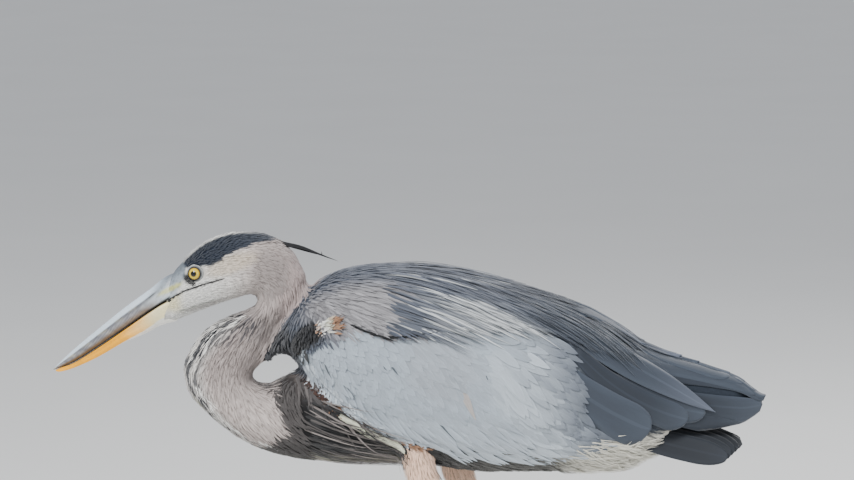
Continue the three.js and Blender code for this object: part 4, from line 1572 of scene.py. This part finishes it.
def eyelids(material):
    """A dark rim close round each eye, and a pale lid that runs out into the face."""
    count = 72
    inner = [eye_ring(IRIS_EDGE + 0.15, count, -0.3), eye_ring(IRIS_EDGE + 0.25, count, 0.35)]
    crest = [eye_ring(IRIS_EDGE + 0.75, count, 0.75), eye_ring(IRIS_EDGE + 1.5, count, 0.7)]
    last = crest[-1]
    away = unit(last - EYE_AT - ((last - EYE_AT) @ EYE_AXIS)[:, None] * EYE_AXIS)
    slopes = []
    for step, sink in ((0.8, 0.45), (1.7, 0.2), (2.6, -0.8)):
        spot, normal, _ = surface.nearest(last + away * step - EYE_AXIS * 1.5 * step)
        slopes.append(spot + normal * sink)
    left = np.concatenate([*inner, *crest, *slopes])
    rings = len(inner) + len(crest) + len(slopes)
    shade = np.repeat([0, 0, 0, 0.25, 0.9, 1, 1], count)
    x, h = left[:, 0], left[:, 2]
    ahead = patch(x, h, (-202.5, 492.8), (6.5, 5), -38, 0.3)
    tint = mix(mix(BLACK, LID, shade), BLACK, 0.8 * ahead)
    faces = tube_faces(rings, count)[:-2]
    for side, name in ((1, "left"), (-1, "right")):
        obj = new_object(f"eyelid_{name}", left * [1, side, 1], faces)
        add_tint(obj, tint)
        subdivide(obj, 1)
        unwrap(obj)
        finish_piece(obj, material, "head_feathers")


def eye_material():
    """A wet eye: rayed iris under a clear coat."""
    n = Nodes("eye_wet")
    fleck = n.noise(n.place(), 1400.0, 3.0)
    value = n.line(fleck, 0.4, 0.8)
    n.set(Base_Color=n.scale_colour(n.tint(), value), Coat_Weight=0.8, Coat_Roughness=0.02)
    n.set(Specular_IOR_Level=0.05)
    n.set(Roughness=n.line(fleck, 0.1, 0.2))
    n.set(Normal=n.bump(fleck, 0.03))
    return n.material


def scaly_material(name, size=700.0, roughness=0.5, bump=0.6):
    """Bare skin: small net-like scales, darker between them."""
    n = Nodes(name)
    place = n.place()
    inputs = {"Vector": place, "Scale": size}
    cell = n.add("ShaderNodeTexVoronoi", inputs, feature="DISTANCE_TO_EDGE").outputs["Distance"]
    plate = n.math("MULTIPLY", cell, 6.0, clamp=True)
    dirt = n.noise(place, 160.0, 5.0)
    value = n.line(plate, 0.35, n.line(dirt, 0.6, 0.4))
    n.set(Base_Color=n.scale_colour(n.tint(), value), Specular_IOR_Level=0.4)
    n.set(Roughness=n.line(dirt, 0.25, roughness - 0.1))
    n.set(Normal=n.bump(plate, bump))
    return n.material


# ---------- Legs, claws and plume ----------

BALL_OF_FOOT = {"left": (-1.4, -42), "right": (32.6, 42)}
HOCK_HEIGHT = 182
LEG_VOXEL = 1.15  # grain of the fused leg
SCUTE = 4.2  # length of one scute
SCUTE_RISE = 0.42  # how far it rises from one edge to the other


def leg_piece(name, material):
    """Bare leg and foot in one skin, with scutes down the front and over the toes."""
    nodes = [f"tarsus_{name}", f"foot_{name}"]
    obj = joined_copy(f"leg_{name}", [f"thigh_{name}", *nodes])
    remesh(obj, LEG_VOXEL, 3)
    points, normals = points_of(obj), normals_of(obj)
    on_foot = fall(points[:, 2], 14, 24)
    x, y = BALL_OF_FOOT[name]
    from_ball = np.hypot(points[:, 0] - x, points[:, 1] - y)
    along = np.where(points[:, 2] < 19, from_ball, points[:, 2])
    step = (along / SCUTE) % 1
    front = smooth(-normals[:, 0], 0.1, 0.5) * (1 - on_foot) + smooth(normals[:, 2], 0.1, 0.5) * on_foot
    low = points[:, 2] < HOCK_HEIGHT + 6
    height = SCUTE_RISE * (step - 0.5) * front * low - 3 * smooth(points[:, 2], BARE_LEG - 14, BARE_LEG + 4)
    points = points + normals * height[:, None]
    points[:, 2] = np.maximum(points[:, 2], 0.0)
    move_points(obj, points)
    edge = smooth(step, 0.82, 0.95) * front * low
    grey = smooth(wobble(points, 60, 9), -0.4, 0.8)
    tint = mix(mix(LEG, LEG_PALE, 0.45 * grey), BLACK, 0.6 * edge)
    add_tint(obj, tint)
    cut_above(obj, BARE_LEG + 8)
    unwrap(obj)
    finish_piece(obj, material, "leg_skin", *nodes)


CLAW_GROWTH = 1.18  # makes up for what the softening takes off


def claws(material):
    nodes = [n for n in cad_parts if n.startswith("claw_")]
    vertices, faces = [], []
    for node in nodes:
        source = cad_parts[node].data
        corners = np.array([v.co for v in source.vertices]) / MM
        middle = corners.mean(0)
        start = len(vertices)
        vertices += (middle + (corners - middle) * CLAW_GROWTH).tolist()
        faces += [[start + i for i in p.vertices] for p in source.polygons]
    obj = new_object("claws", vertices, faces)
    weld(obj)
    subdivide(obj, 2)
    points = points_of(obj)
    points[:, 2] = np.maximum(points[:, 2], 0.3)
    move_points(obj, points)
    tint = mix(BLACK, LEG, 0.3 + 0.3 * wobble(points, 12, 6))
    finish_tinted(obj, tint, material, "claw_horn", *nodes)


def plumes(material):
    """The long black plumes that trail from the back of the crown."""
    layer = Blades("lance", 16, 5, 0, 0)
    for end, drop, side, width in (((-66, 508), 0, -0.6, 4.4), ((-82, 517), 2, 1.4, 3.4)):
        route = spline([(-134, 529), (-116, 524), (-100, 521 - drop), (-82, 514), end], 5)
        at = np.linspace(0, len(route) - 1, 16)
        x = np.interp(at, np.arange(len(route)), route[:, 0])
        z = np.interp(at, np.arange(len(route)), route[:, 1])
        half = width / 2 * blade_widths(layer.t, "lance")[:, None]
        reach = half * layer.across
        grid = np.stack([x[:, None] + 0 * reach, side + 0.3 * reach, z[:, None] + reach], -1)
        layer.add_grid(grid, BLACK, BLACK)
    layer.build("plumes", material, "black_plume", "plume")


# ---------- The pieces ----------

# The feathers share one run of random numbers, so their order counts.

dress_skin()
PLUMAGE = feather_material("plumage")
FINE_PLUMAGE = feather_material("fine_plumage", barbs=6.0, fringe=0.05, shaft=0.0)
STREAKED = feather_material("streaked_plumage", fringe=0.1, shaft=0.35)
COVERT_PLUMAGE = feather_material("covert_plumage", barbs=40.0, fringe=0.2, shaft=0.05)
head_feathers(FINE_PLUMAGE)
neck_feathers(FINE_PLUMAGE)
breast_feathers(PLUMAGE)
belly_feathers(PLUMAGE)
vent_feathers(FINE_PLUMAGE)
rump_feathers(PLUMAGE)
back_feathers(STREAKED)
covert_feathers(COVERT_PLUMAGE)
greater_coverts(COVERT_PLUMAGE)
edge_coverts(COVERT_PLUMAGE)
worn_and_gap_shade_coverts(COVERT_PLUMAGE)
mark_feathers(PLUMAGE)
thigh_feathers(FINE_PLUMAGE)
FLIGHT = feather_material("flight_plumage", barbs=60.0, fringe=0.5, shaft=0.25, contrast=0.05, bump=0.15)
flight_feathers(FLIGHT)
tail_feathers(FLIGHT)
scapulars(STREAKED)
breast_plumes(PLUMAGE)
covert_fringe(COVERT_PLUMAGE)
plumes(FINE_PLUMAGE)
HORN = horn_material("bill_horn")
bill_piece("bill_top", UPPER_BILL, 1, upper_bill_colour, upper_carve, HORN, "bill_horn", "bill_upper")
bill_piece("bill_under", LOWER_BILL, -1, lower_bill_colour, lower_carve, HORN, "bill_yellow", "bill_lower")
eyeballs(eye_material())
eyelids(scaly_material("eyelid_skin", 2200.0, 0.45, 0.4))
LEG_SCALES = scaly_material("leg_scales")
leg_piece("left", LEG_SCALES)
leg_piece("right", LEG_SCALES)
claws(horn_material("claw_horn"))

# ---------- Floor, light and camera ----------

FLOOR = 3e4  # half its width


def make_floor():
    corners = [(FLOOR * a, FLOOR * b, 0) for a, b in ((-1, -1), (1, -1), (1, 1), (-1, 1))]
    floor = new_object("floor", corners, [(0, 1, 2, 3)])
    n = Nodes("pale_floor")
    grain = n.noise(n.place(), 3.0, 2.0)
    n.set(Base_Color=n.blend(grain, (0.72, 0.72, 0.7, 1), (0.76, 0.76, 0.74, 1)), Roughness=0.8)
    floor.data.materials.append(n.material)


def area_light(name, place, aim, size, watts):
    data = bpy.data.lights.new(name, "AREA")
    data.size = size
    data.energy = watts
    light = bpy.data.objects.new(name, data)
    light.location = place
    direction = np.array(aim) - np.array(place)
    light.rotation_euler = Vector(direction).to_track_quat("-Z", "Y").to_euler()
    bpy.context.scene.collection.objects.link(light)


def make_lights():
    world = bpy.data.worlds.new("studio")
    world.use_nodes = True
    world.node_tree.nodes["Background"].inputs[0].default_value = (0.9, 0.93, 1.0, 1)
    world.node_tree.nodes["Background"].inputs[1].default_value = 0.7
    bpy.context.scene.world = world
    area_light("key", (-0.9, -1.6, 2.2), (0, 0, 0.4), 0.9, 100)
    area_light("rim", (1.2, 1.5, 2.0), (0, 0, 0.4), 1.0, 34)
    area_light("fill", (1.8, -2.2, 0.9), (0, 0, 0.35), 1.6, 16)


VIEW_HEIGHT = math.radians(8)
VIEW_DISTANCE = 3.2
VIEW_WIDTH = 0.7857  # width of the picture at the middle of the bird
VIEW_AIM = (0.0156, 0, 0.5277)


def make_camera():
    data = bpy.data.cameras.new("camera")
    data.sensor_width = 36
    data.lens = data.sensor_width * VIEW_DISTANCE / VIEW_WIDTH
    camera = bpy.data.objects.new("camera", data)
    x, _, z = VIEW_AIM
    back = VIEW_DISTANCE * math.cos(VIEW_HEIGHT)
    camera.location = (x, -back, z + VIEW_DISTANCE * math.sin(VIEW_HEIGHT))
    camera.rotation_euler = (math.pi / 2 - VIEW_HEIGHT, 0, 0)
    bpy.context.scene.collection.objects.link(camera)
    bpy.context.scene.camera = camera


make_floor()
make_lights()
make_camera()
